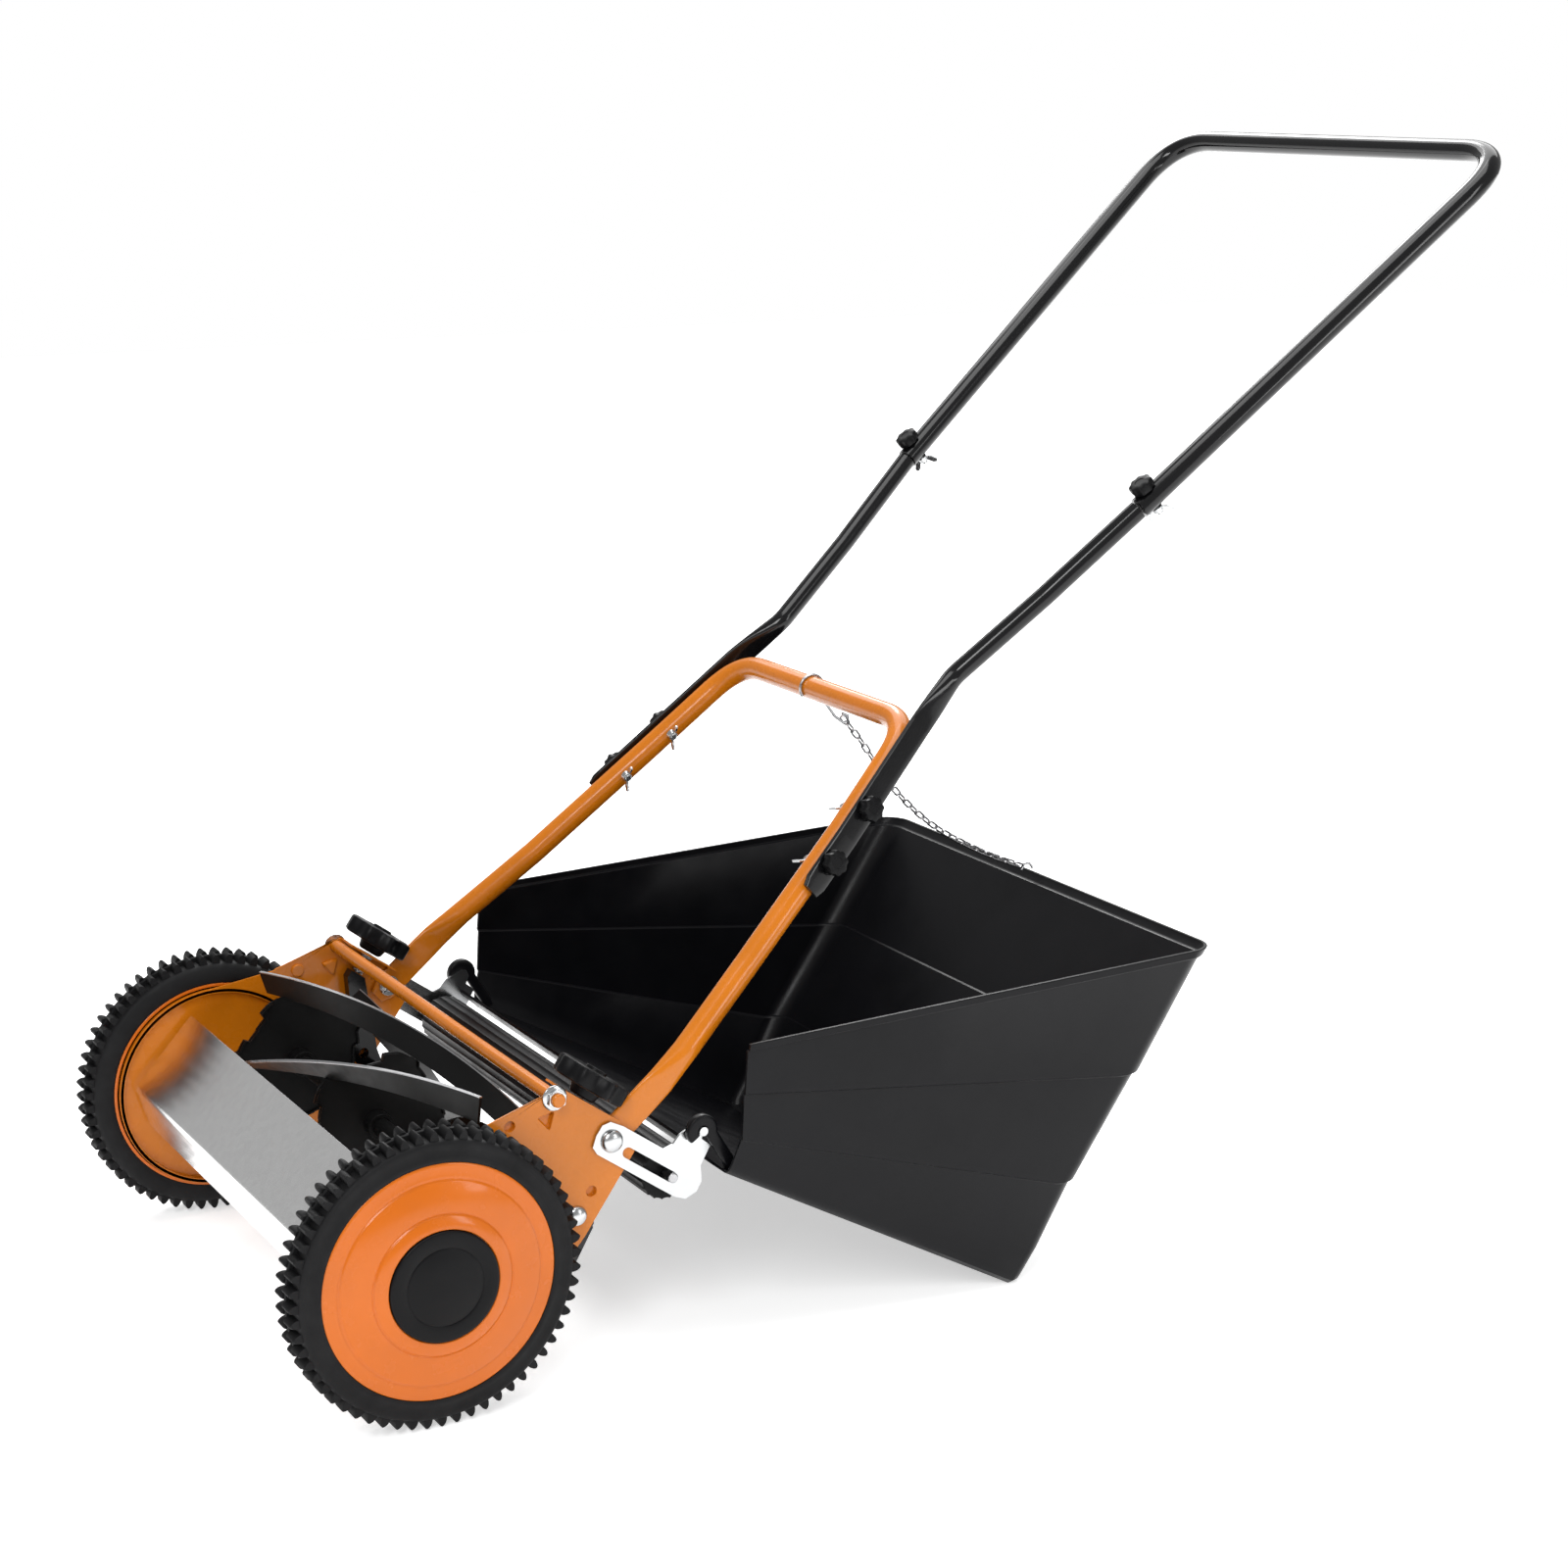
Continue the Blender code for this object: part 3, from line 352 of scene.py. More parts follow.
def loft(loops, closed=False):
    """Bridges loops of equal length; open lofts are capped at both ends."""
    bm = bmesh.new()
    rings = [[bm.verts.new(point) for point in loop] for loop in loops]
    count = len(rings)
    for i in range(count if closed else count - 1):
        near, far = rings[i], rings[(i + 1) % count]
        for j in range(len(near)):
            bm.faces.new((near[j - 1], near[j], far[j], far[j - 1]))
    if not closed:
        bm.faces.new(rings[0])
        bm.faces.new(rings[-1])
    return bm


def join(*meshes):
    """One bmesh holding all the given ones."""
    whole = meshes[0]
    for other in meshes[1:]:
        carrier = bpy.data.meshes.new("part")
        other.to_mesh(carrier)
        other.free()
        whole.from_mesh(carrier)
        bpy.data.meshes.remove(carrier)
    return whole


def moved(bm, matrix):
    bmesh.ops.transform(bm, matrix=matrix, verts=bm.verts[:])
    return bm


def circle(radius, count, centre=(0.0, 0.0), start=-90.0):
    """Points round a centre, from the start angle on."""
    step = 360.0 / count
    angles = [math.radians(start + step * i) for i in range(count)]
    return [(centre[0] + radius * math.cos(a), centre[1] + radius * math.sin(a)) for a in angles]


def in_plate(place, x=0.0):
    """Axes on a side plate at (u, v)."""
    return PLATE @ Matrix.Translation((x, *place))


def turned(profile, count=96, closed=False):
    """A profile of (x, radius) turned about X; a closed one makes a ring."""
    loops = [[(x, y, z) for y, z in circle(radius, count)] for x, radius in profile]
    return loft(loops, closed)


def prism(outline, low, high, holes=()):
    """A plate with holes, its outline in (y, z) and its thickness along X."""
    bm = bmesh.new()
    edges = []
    for loop in (outline, *holes):
        verts = [bm.verts.new((low, a, b)) for a, b in loop]
        edges += [bm.edges.new((verts[i - 1], verts[i])) for i in range(len(verts))]
    bmesh.ops.triangle_fill(bm, use_beauty=True, use_dissolve=True, edges=edges)
    pushed = bmesh.ops.extrude_face_region(bm, geom=bm.faces[:])
    lifted = [item for item in pushed["geom"] if isinstance(item, bmesh.types.BMVert)]
    bmesh.ops.translate(bm, verts=lifted, vec=(high - low, 0.0, 0.0))
    return bm


def lobed(radius, depth, lobes, count):
    """A round outline with shallow hollows between its lobes."""
    points = []
    for i in range(count):
        angle = 2 * math.pi * i / count
        reach = radius - depth * (1 - math.cos(lobes * angle)) / 2
        points.append((reach * math.cos(angle), reach * math.sin(angle)))
    return points


def stacked(layers):
    """A solid through outlines at rising heights along X."""
    return loft([[(x, a, b) for a, b in outline] for x, outline in layers])


def fillet(corners, radius, steps=10):
    """A route through the corners with each inner one rounded."""
    route = [Vector(corners[0])]
    for before, here, after in zip(corners, corners[1:], corners[2:]):
        here = Vector(here)
        back = (Vector(before) - here).normalized()
        ahead = (Vector(after) - here).normalized()
        half = back.angle(ahead) / 2
        reach = min(radius / math.tan(half), 0.45 * (Vector(before) - here).length,
                    0.45 * (Vector(after) - here).length)
        start, end = here + back * reach, here + ahead * reach
        for i in range(steps + 1):
            t = i / steps
            route.append(start * (1 - t) ** 2 + here * 2 * t * (1 - t) + end * t ** 2)
    route.append(Vector(corners[-1]))
    return route


def rounded(outline, radius, steps=4):
    """A closed flat outline with its corners rounded."""
    count = len(outline)
    points = []
    for i in range(count):
        corner = [Vector((*outline[(i + k) % count], 0.0)) for k in (-1, 0, 1)]
        points += [(p.x, p.y) for p in fillet(corner, radius, steps)[1:-1]]
    return points


def smooth_route(points, per_span):
    """A Catmull-Rom curve through the points."""
    points = [Vector(p) for p in points]
    padded = [2 * points[0] - points[1], *points, 2 * points[-1] - points[-2]]
    route = []
    for a, b, c, d in zip(padded, padded[1:], padded[2:], padded[3:]):
        for i in range(per_span):
            t = i / per_span
            route.append(0.5 * (2 * b + (c - a) * t + (2 * a - 5 * b + 4 * c - d) * t ** 2
                                + (3 * b - a - 3 * c + d) * t ** 3))
    route.append(points[-1])
    return route


def dense(route, spacing):
    """The same polyline with points no further apart than the spacing."""
    points = [route[0]]
    for a, b in zip(route, route[1:]):
        parts = max(1, int((b - a).length / spacing))
        points += [a.lerp(b, i / parts) for i in range(1, parts + 1)]
    return points


def sweep(route, sections, side, sides=24):
    """Sweeps (half thickness, half width, squareness) along a route."""
    loops = []
    normal = Vector(side)
    for i, point in enumerate(route):
        tangent = (route[min(i + 1, len(route) - 1)] - route[max(i - 1, 0)]).normalized()
        normal = (normal - tangent * normal.dot(tangent)).normalized()
        across = tangent.cross(normal)
        half, width, power = sections[i]
        loop = []
        for j in range(sides):
            angle = 2 * math.pi * (j + 0.5) / sides
            cos, sin = math.cos(angle), math.sin(angle)
            a = math.copysign(abs(cos) ** power, cos) * half
            b = math.copysign(abs(sin) ** power, sin) * width
            loop.append(point + normal * a + across * b)
        loops.append(loop)
    return loft(loops)


def wire(route, radius, sides=10):
    return sweep(route, [(radius, radius, 1.0)] * len(route), (0.31, 0.17, 0.93), sides)


def mirrored(points):
    """The same points on the other side, in reverse order."""
    return [(-x, y, z) for x, y, z in reversed(points)]


def on_side(vector, sign):
    """A place or direction of the left side, taken to the given side."""
    vector = Vector(vector)
    return Vector((sign * vector.x, vector.y, vector.z))


def x_to(axis):
    """The turn that lays the X axis along the given one."""
    return Vector((1, 0, 0)).rotation_difference(axis).to_matrix().to_4x4()


def flip(sign):
    """Keeps the left side, sign 1, and mirrors it for the right, sign -1."""
    return Matrix.Diagonal((sign, 1.0, 1.0, 1.0))


# -------------------------------------------------------------------------- wheels

def tyre_mesh():
    """Tyre on the left wheel: two staggered rows of bars and a middle rib."""
    body = turned([
        (255.6, 101.0), (294.4, 101.0), (295.0, 102.4), (295.1, 104.0), (294.4, 106.0), (293.6, 108.5),
        (293.4, 112.5), (293.9, 115.4), (293.2, 117.6), (291.6, 118.9), (289.5, 119.3), (277.0, 119.6),
        (276.6, 123.6), (275.6, 124.3), (274.4, 124.3), (273.4, 123.6), (273.0, 119.6), (261.5, 119.3),
        (258.6, 118.0), (256.8, 115.0), (255.4, 110.0), (254.9, 104.0)], 144, True)
    bars = bmesh.new()
    teeth, steps = 60, 8
    bar_base, bar_height, bar_half = 118.6, 8.7, 3.9
    for row, (low, high) in enumerate(((276.2, 291.2), (260.6, 273.8))):
        for tooth in range(teeth):
            angle = 2 * math.pi * (tooth + 0.5 * row) / teeth
            out = Vector((0, math.cos(angle), math.sin(angle)))
            across = Vector((0, -math.sin(angle), math.cos(angle)))
            rings = []
            for x, shrink in ((low, 1.0), (high - 1.2, 1.0), (high, 0.86)):
                ring = []
                for k in range(steps + 1):
                    turn = math.pi * k / steps
                    height = bar_base + bar_height * shrink * math.sin(turn)
                    point = out * height + across * (bar_half * math.cos(turn))
                    ring.append(bars.verts.new((x, point.y, point.z)))
                rings.append(ring)
            for near, far in zip(rings, rings[1:]):
                for k in range(steps):
                    bars.faces.new((near[k], near[k + 1], far[k + 1], far[k]))
            bars.faces.new(rings[0])
            bars.faces.new(rings[-1])
    return join(body, bars)


def wheels():
    """Tyres, discs with two pressed rings, and hub caps with a faint ring."""
    disc = [
        (262.0, 8.3), (299.8, 8.3), (299.8, 47.8), (303.9, 47.8), (304.6, 48.6), (304.5, 50.0),
        (302.6, 58.6), (302.0, 59.4), (301.3, 59.8), (300.9, 60.6), (301.3, 61.4), (301.2, 62.4),
        (297.6, 85.6), (297.0, 86.8), (296.2, 87.4), (295.9, 88.2), (296.2, 89.0), (295.9, 90.2),
        (295.0, 97.6), (294.9, 98.8), (294.6, 99.8), (294.0, 100.6), (255.2, 100.6), (254.9, 100.2),
        (255.0, 97.9), (290.0, 97.7), (292.5, 87.0), (297.0, 60.0), (297.0, 16.0), (262.0, 16.0)]
    cap = [
        (303.8, 11.0), (300.2, 11.0), (300.2, 47.0), (303.0, 47.4), (304.9, 47.2), (305.9, 46.5),
        (306.3, 45.4), (306.3, 34.2), (306.0, 33.6), (305.7, 33.0), (306.0, 32.4), (306.3, 31.8),
        (306.3, 2.0)]
    for side, sign in SIDES:
        body = "wheel_" + side
        mirror = AXES @ flip(sign)
        make("tyre_lugs_" + side, tyre_mesh(), "tyre_rubber", body, mirror, ["tyre_" + side], angle=40)
        make("wheel_disc_" + side, turned(disc, 128, True), "orange_plastic", body, mirror,
             ["wheel_" + side], angle=50)
        make("wheel_cap_" + side, turned(cap, 96), "black_plastic", body, mirror,
             ["hub_cap_" + side], angle=50)


# -------------------------------------------------------------------- frame sheets

PRESSINGS = ((7.1, 132.2), (107.1, 117.8))
TRIANGLE = ((24.7, 148.9), (36.3, 162.0), (42.8, 144.4))
TRIANGLE_MIDDLE = Vector((34.6, 151.8))


def dome(radius, height, centre, x, rings=6, count=24):
    """A pressed dome or bolt head on a plate, bulging along +X."""
    profile = []
    for i in range(rings + 1):
        angle = 0.5 * math.pi * i / rings
        profile.append((x + height * math.sin(angle), max(0.05, radius * math.cos(angle))))
    return moved(turned([(x - 0.6, radius), *profile], count), Matrix.Translation((0, *centre)))


def plate_outline():
    """The rounded corners of a plate, closed by an arc round its drum."""
    top = rounded([(-14.7, 121.0), (29.4, FLANGE_V), (95.3, FLANGE_V), (124.0, 166.0), (124.5, 83.0),
                   (118.5, 12.0), (109.0, -14.0), (60.0, 20.0)], 5.0, 4)
    # The last corner lies inside the drum and only turns the edge before it
    top = [p for p in top if not (p[0] < 100 and p[1] < 60)]
    first = top.index(min(top, key=lambda p: p[0]))
    around = []
    for degrees in range(-20, -232, -4):
        angle = math.radians(degrees)
        around.append((DRUM_R * math.cos(angle), DRUM_R * math.sin(angle)))
    return top[first:] + around


def scaled(points, scale):
    """Points of the pressed triangle, scaled about its middle."""
    return [tuple(TRIANGLE_MIDDLE + (Vector(p) - TRIANGLE_MIDDLE) * scale) for p in points]


def pressed_cups():
    """Bosses on a plate's inside, under the triangle and the two dimples."""
    sides = ((250.9, 1.02), (246.6, 0.98), (245.4, 0.7), (246.6, 0.66), (247.6, 0.86), (250.9, 0.94))
    corners = rounded(TRIANGLE, 2.0, 3)
    rings = [[(x, u, v) for u, v in scaled(corners, scale)] for x, scale in sides]
    bottom = rounded(scaled(TRIANGLE, 0.72), 1.5, 3)
    cups = [loft(rings, True), prism(bottom, 245.4, 246.6)]
    for place in PRESSINGS:
        recess = turned([(249.2, 6.3), (246.8, 6.0), (246.2, 5.4), (246.2, 0.1), (247.2, 0.1),
                         (247.2, 4.5), (250.9, 4.8), (250.9, 5.2), (249.2, 5.4)], 28, True)
        cups.append(moved(recess, Matrix.Translation((0, *place))))
    return cups


def adjuster_flange():
    """Strip folded inward at the top of a plate, under the adjuster knob."""
    flange = prism([(30.5, 222.0), (85.0, 222.0), (85.0, 249.6), (30.5, 249.6)], 178.4, 180.35,
                   [circle(3.6, 20, (ADJUSTER_U, ADJUSTER_X))])
    for vert in flange.verts:
        v, u, x = vert.co
        vert.co = (x, u, v)
    return flange


def side_plates():
    cup = [(249.0, 96.6), (254.6, 96.6), (256.3, 96.1), (257.4, 95.0), (258.0, 93.2), (258.0, 8.3),
           (256.0, 8.3), (256.0, 92.4), (249.0, 92.8)]
    for side, sign in SIDES:
        holes = [circle(93.4, 96), circle(6.3, 20, TIE_ROD), circle(5.3, 20, KNIFE_PIVOT),
                 rounded(TRIANGLE, 2.0, 3)] + [circle(4.9, 24, place) for place in PRESSINGS]
        sheet = prism(plate_outline(), PLATE_IN, PLATE_OUT, holes)
        drum = moved(turned(cup, 128, True), Matrix.Rotation(PLATE_TILT, 4, "X"))
        make("side_sheet_" + side, join(sheet, adjuster_flange(), drum, *pressed_cups()),
             "orange_paint", "root", PLATE @ flip(sign), ["side_plate_" + side], bevel=0.5)
        make("knife_bolt_" + side, dome(9.0, 5.2, KNIFE_PIVOT, 251.6), "zinc", "root",
             PLATE @ flip(sign), ["knife_pivot_" + side])


def front_guard():
    """Folded zinc sheet with a rolled bend."""
    outer = fillet([(0.0, -25.0, 75.0), (0.0, -82.0, 13.0), (0.0, -69.0, -28.0)], 9.0, 8)
    outline = [(p.y, p.z) for p in outer]
    thick = 1.5
    inner = []
    for i, p in enumerate(outer):
        along = outer[min(i + 1, len(outer) - 1)] - outer[max(i - 1, 0)]
        inner.append((p.y - along.z / along.length * thick, p.z + along.y / along.length * thick))
    make("guard_sheet", prism(outline + inner[::-1], -248.6, 248.6), "zinc_sheet", "root", AXES,
         ["front_guard"], bevel=0.3)


def tie_rod():
    """Painted rod across the plates, with a zinc flange nut at each end."""
    rod = turned([(-262.0, 5.0), (-261.0, 6.0), (261.0, 6.0), (262.0, 5.0)], 28)
    nuts = []
    for _, sign in SIDES:
        flange = turned([(251.4, 6.2), (251.4, 11.0), (252.4, 11.0), (253.6, 9.2), (253.6, 6.2)], 28, True)
        body = prism(circle(8.6, 6, start=0), 253.4, 258.6, [circle(6.1, 20)])
        nuts += [moved(flange, flip(sign)), moved(body, flip(sign))]
    place = in_plate(TIE_ROD)
    make("tie_bar", rod, "orange_paint", "root", place, ["tie_rod"], bevel=0.3)
    make("tie_nuts", join(*nuts), "zinc", "root", place, bevel=0.3)


# ---------------------------------------------------------------------------- reel

# One fifth of a spider's stepped edge: degrees from its arm, and radius
SPIDER_EDGE = (
    (35.5, 55.0), (30.0, 55.5), (23.0, 56.5), (22.4, 63.5), (17.0, 64.8), (12.0, 65.8), (9.5, 66.2),
    (4.0, 66.3), (-4.0, 66.3), (-9.5, 66.2), (-12.0, 62.5), (-18.0, 61.5), (-23.0, 60.6),
    (-23.6, 55.5), (-29.0, 54.6), (-35.0, 54.2))
ARM_POINTS = (7, 8, 9)         # points on the arm's end, which has no folded rim


def blade_mesh(blade, inner, outer, thick, steps=60):
    """A twisted strip between two radii, the full length of the reel."""
    loops = []
    for i in range(steps + 1):
        x = -REEL_HALF + 2 * REEL_HALF * i / steps
        angle = math.radians(PHASE + TWIST * x - 360.0 / BLADES * blade)
        out = Vector((0, math.cos(angle), math.sin(angle)))
        across = Vector((0, -math.sin(angle), math.cos(angle))) * (thick / 2)
        station = Vector((x, 0, 0))
        loops.append([station + p for p in (out * inner - across, out * outer - across,
                                            out * outer + across, out * inner + across)])
    return loft(loops)


def spider_mesh(x):
    """Stamped plate with stepped edges, folded into a low rim."""
    outline = []
    for arm in range(BLADES):
        middle = PHASE + TWIST * x - 360.0 / BLADES * arm
        for offset, radius in SPIDER_EDGE:
            angle = math.radians(middle + offset)
            outline.append((radius * math.cos(angle), radius * math.sin(angle)))
    rim = bmesh.new()
    rings = []
    for rise, scale in ((0.0, 0.985), (4.5, 0.998), (4.5, 0.97)):
        rings.append([rim.verts.new((x + rise, a * scale, b * scale)) for a, b in outline])
    for i in range(len(outline)):
        if i % len(SPIDER_EDGE) in ARM_POINTS:
            continue
        for near, far in zip(rings, rings[1:] + rings[:1]):
            rim.faces.new((near[i - 1], near[i], far[i], far[i - 1]))
    return join(prism(outline, x - 1.5, x + 1.5, [circle(8.4, 32)]), rim)


def reel():
    for number in range(1, BLADES + 1):
        blade = number - 1
        make("blade_body_%d" % number, blade_mesh(blade, BLADE_IN, REEL_R - 1.0, 2.4), "reel_paint",
             "reel", REEL_AXES, ["reel_blade_%d" % number], bevel=0.25)
        make("blade_edge_%d" % number, blade_mesh(blade, REEL_R - 1.1, REEL_R, 2.5), "steel",
             "reel", REEL_AXES)
    for number, x in enumerate(SPIDER_X):
        make("spider_disc_%d" % (number + 1), spider_mesh(x), "reel_paint", "reel", REEL_AXES,
             ["reel_spider_%d" % (number + 1)], bevel=0.3)
    shaft = turned([(-276.0, 7.0), (-275.0, 8.0), (275.0, 8.0), (276.0, 7.0)], 32)
    collars = [turned([(x - 7, 8.1), (x - 7, 12.0), (x + 7, 12.0), (x + 7, 8.1)], 32, True)
               for x in (-188.0, 9.0, 188.0)]
    make("shaft", join(shaft, *collars), "reel_paint", "reel", REEL_AXES, ["reel_shaft"], bevel=0.4)


# ------------------------------------------------------------------------- roller

def roller():
    """Drum with a bore through it and rounded flutes along it."""
    count, flutes, bore_r = 120, 20, 4.9
    rings = []
    ends = ((-243.0, 22.4, 0.6), (-242.0, 24.0, 1.3), (242.0, 24.0, 1.3), (243.0, 22.4, 0.6))
    for x, radius, depth in ends:
        ring = []
        for i in range(count):
            angle = 2 * math.pi * i / count
            reach = radius - depth * abs(math.cos(flutes * angle / 2)) ** 0.5
            ring.append((x, reach * math.cos(angle), reach * math.sin(angle)))
        rings.append(ring)
    for x in (243.0, -243.0):
        rings.append([(x, a, b) for a, b in circle(bore_r, count, start=0)])
    make("roller_drum", loft(rings, True), "black_plastic", "roller", in_plate(ROLLER_AXIS),
         ["roller"], angle=25)


# ------------------------------------------------------------------------- handles

def leg_route():
    """Middle line of the left leg, from its flat foot to the cross tube."""
    bolt_y, bolt_z, past_bolt = 173.8, 75.8, 16.0
    dy, dz = 240.0 - bolt_y, 131.0 - bolt_z
    length = math.hypot(dy, dz)
    start = (FOOT_X, bolt_y - past_bolt * dy / length, bolt_z - past_bolt * dz / length)
    return [start, (FOOT_X, 196.0, 94.3), (FOOT_X - 0.5, 224.0, 117.7), (240.5, 250.0, 139.2),
            (218.8, 320.0, 197.3), (188.3, 430.0, 294.06), (159.1, CROSS_Y, CROSS_Z)]


def ease(t):
    """A smooth step from 0 to 1."""
    t = min(1.0, max(0.0, t))
    return t * t * (3 - 2 * t)


def tapered(route, flat, full, start, length):
    """Sections that go from a flat strap to a round tube behind start."""
    sections = []
    for point in route:
        share = ease((point.y - start) / length)
        sections.append(tuple(a + (b - a) * share for a, b in zip(flat, full)))
    return sections


def handles():
    """Lower U with flat feet, two strap-ended middle tubes, and the upper U."""
    leg = leg_route()
    route = dense(fillet([*leg, *mirrored(leg)], 52.0, 14), 9.0)
    sections = tapered(route, (STRAP_T / 2, 14.0, 0.5), (LEG_R, LEG_R, 1.0), 208.0, 48.0)
    for i, narrower in ((0, 0.55), (1, 0.9)):
        for k in (i, -1 - i):
            sections[k] = (sections[k][0], 14.0 * narrower, 0.6)
    make("lower_tube", sweep(route, sections, (1, 0, 0), 28), "orange_paint", "root", AXES,
         ["lower_handle"], angle=50)
    offset = 0.5 * STRAP_T + LEG_R + 1.8
    middle = [(200.7 + offset, 386.0, 254.5), (188.3 + offset, 430.0, 294.06),
              (159.1 + offset, CROSS_Y, CROSS_Z), (158.5, 566.0, 416.0), (178.9, 650.0, 485.7),
              (200.4, 734.5, 560.4)]
    for side, sign in SIDES:
        route = dense([on_side(p, sign) for p in fillet(middle, 34.0, 10)], 8.0)
        sections = tapered(route, (STRAP_T / 2, 12.0, 0.5), (MID_R, MID_R, 1.0), 526.0, 44.0)
        sections[0] = (sections[0][0], 9.0, 0.6)
        make("middle_tube_" + side, sweep(route, sections, (1, 0, 0), 24), "black_paint", "root", AXES,
             ["mid_tube_" + side], angle=50)
    start = NECK + ALONG * 1.2
    corners = [start, TOP_CORNER, on_side(TOP_CORNER, -1), on_side(start, -1)]
    route = fillet(corners, 56.0, 16)
    tube = sweep(route, [(GRIP_R, GRIP_R, 1.0)] * len(route), (1, 0, 0), 28)
    make("upper_tube", tube, "black_paint", "root", AXES, ["upper_handle"], angle=50)


def wing_nut():
    """A wing nut below the origin: a coned hub and two rounded wings."""
    hub = turned([(-6.6, 3.2), (-6.6, 4.6), (-0.6, 6.4), (0.0, 6.0), (0.0, 3.2)], 28, True)
    wings = []
    for sign in (1, -1):
        wing = rounded([(-0.8, 3.5), (-5.0, 3.5), (-13.0, 9.0), (-15.2, 13.4), (-11.2, 15.2),
                        (-5.0, 11.0)], 1.8, 4)
        bm = prism(wing, -1.1, 1.1)
        for vert in bm.verts:
            across, x, out = vert.co
            vert.co = (x, sign * out, across)
        wings.append(bm)
    return join(hub, *wings)


def leg_point(y):
    """Point and direction of the left leg at a distance behind the axle."""
    route = [Vector(p) for p in leg_route()]
    for a, b in zip(route, route[1:]):
        if a.y <= y <= b.y:
            return a + (b - a) * ((y - a.y) / (b.y - a.y)), (b - a).normalized()
    return route[-1], Vector((0, 1, 0))


def clamp_places():
    """Side, number, place, axis and reach each way of every clamp bolt."""
    spots = []
    for side, sign in SIDES:
        for number, y in enumerate((407.0, 451.0)):
            point, direction = leg_point(y)
            out = (Vector((1, 0, 0)) - direction * direction.x).normalized()
            spots.append((side, number + 1, on_side(point, sign), on_side(out, sign),
                          LEG_R + STRAP_T + 2.4, LEG_R + 0.5))
        up = Vector((0, -ALONG.z, ALONG.y)).normalized()
        up = (up - ALONG * up.dot(ALONG)).normalized()
        spots.append((side, 3, on_side(NECK + ALONG * 15.0, sign), on_side(up, sign), GRIP_R + 0.4,
                      GRIP_R + 0.4))
    return spots


def hand_knob(above):
    """Small round knob with eight shallow lobes, its foot at the given height."""
    count, lobes = 64, 8
    layers = [(0.0, circle(7.0, count, start=0))]
    for height, radius, depth in ((0.2, 10.2, 0.9), (1.4, 11.7, 1.5), (7.0, 12.0, 1.6), (8.8, 11.2, 1.4),
                                  (9.5, 9.0, 0.8)):
        layers.append((height, lobed(radius, depth, lobes, count)))
    layers += [(9.5, circle(5.0, count, start=0)), (9.0, circle(4.6, count, start=0))]
    return stacked([(above + height, outline) for height, outline in layers])


def clamps():
    """Round hand knobs with their bolts, and the wing nuts on them."""
    for side, number, point, axis, above, below in clamp_places():
        tag = "%s_%d" % (side, number)
        place = AXES @ Matrix.Translation(point) @ x_to(axis)
        body = "clamp_" + tag
        make("hand_knob_" + tag, hand_knob(above), "black_plastic", body, place,
             ["clamp_knob_" + tag], angle=40)
        shank = turned([(-below - 8.0, 2.5), (-below - 7.4, 3.0), (above + 0.5, 3.0)], 20)
        make("clamp_shank_" + tag, shank, "zinc", body, place)
        nut = moved(wing_nut(), Matrix.Translation((-below, 0, 0)) @ Matrix.Scale(0.86, 4))
        make("wing_nut_" + tag, nut, "zinc", "root", place, ["clamp_nut_" + tag], bevel=0.25)


# ---------------------------------------------------------------- brackets, adjusters

def bracket_bolts():
    """Dome bolts through the brackets, washers and wing nuts inside."""
    for side, sign in SIDES:
        place = in_plate(BRACKET_BOLT) @ flip(sign)
        head = turned([(254.1, 4.0), (254.1, 10.0), (255.2, 10.0), (257.2, 9.0), (258.8, 6.6),
                       (259.5, 3.0), (259.6, 0.4)], 40)
        shank = turned([(236.0, 3.4), (236.8, 4.0), (254.2, 4.0)], 24)
        washer = turned([(242.2, 4.1), (242.2, 10.0), (243.8, 10.0), (243.8, 4.1)], 32, True)
        nut = moved(wing_nut(), Matrix.Translation((242.0, 0, 0)) @ Matrix.Rotation(0.7, 4, "X")
                    @ Matrix.Scale(0.88, 4))
        make("bracket_fastener_" + side, join(head, shank, washer, nut), "zinc", "root", place,
             ["bracket_bolt_" + side], bevel=0.2)


def lobed_knob():
    """Large knob with eight lobes and a recess round its middle."""
    count, lobes = 128, 8
    layers = [(189.6, circle(12.0, count, start=0))]
    for height, radius, depth in ((189.8, 30.6, 4.0), (190.6, 33.0, 4.8), (192.0, 33.9, 5.0),
                                  (203.6, 33.9, 5.0), (205.4, 33.0, 4.8), (206.6, 29.6, 4.0)):
        layers.append((height, lobed(radius, depth, lobes, count)))
    for height, radius in ((206.2, 15.0), (205.4, 14.0), (205.4, 10.0), (208.4, 9.4), (208.6, 8.4)):
        layers.append((height, circle(radius, count, start=0)))
    return stacked(layers)


def adjuster_screw():
    """Threaded rod: a sawtooth outline turned about its axis."""
    threads, pitch, low = 28, 0.8, 158.5
    profile = []
    for i in range(threads):
        profile += [(low + i * pitch, 2.6), (low + (i + 0.5) * pitch, 3.0)]
    return turned(profile, 24)


def coil_spring():
    """Six turns of wire round the screw, under the washer."""
    turns, per_turn, radius, wire_r = 6, 20, 5.6, 0.9
    low, high = 159.4, 177.0
    route = []
    for i in range(turns * per_turn + 1):
        angle = 2 * math.pi * i / per_turn
        height = low + (high - low) * i / (turns * per_turn)
        route.append(Vector((height, radius * math.cos(angle), radius * math.sin(angle))))
    return sweep(route, [(wire_r, wire_r, 1.0)] * len(route), (1, 0, 0), 10)


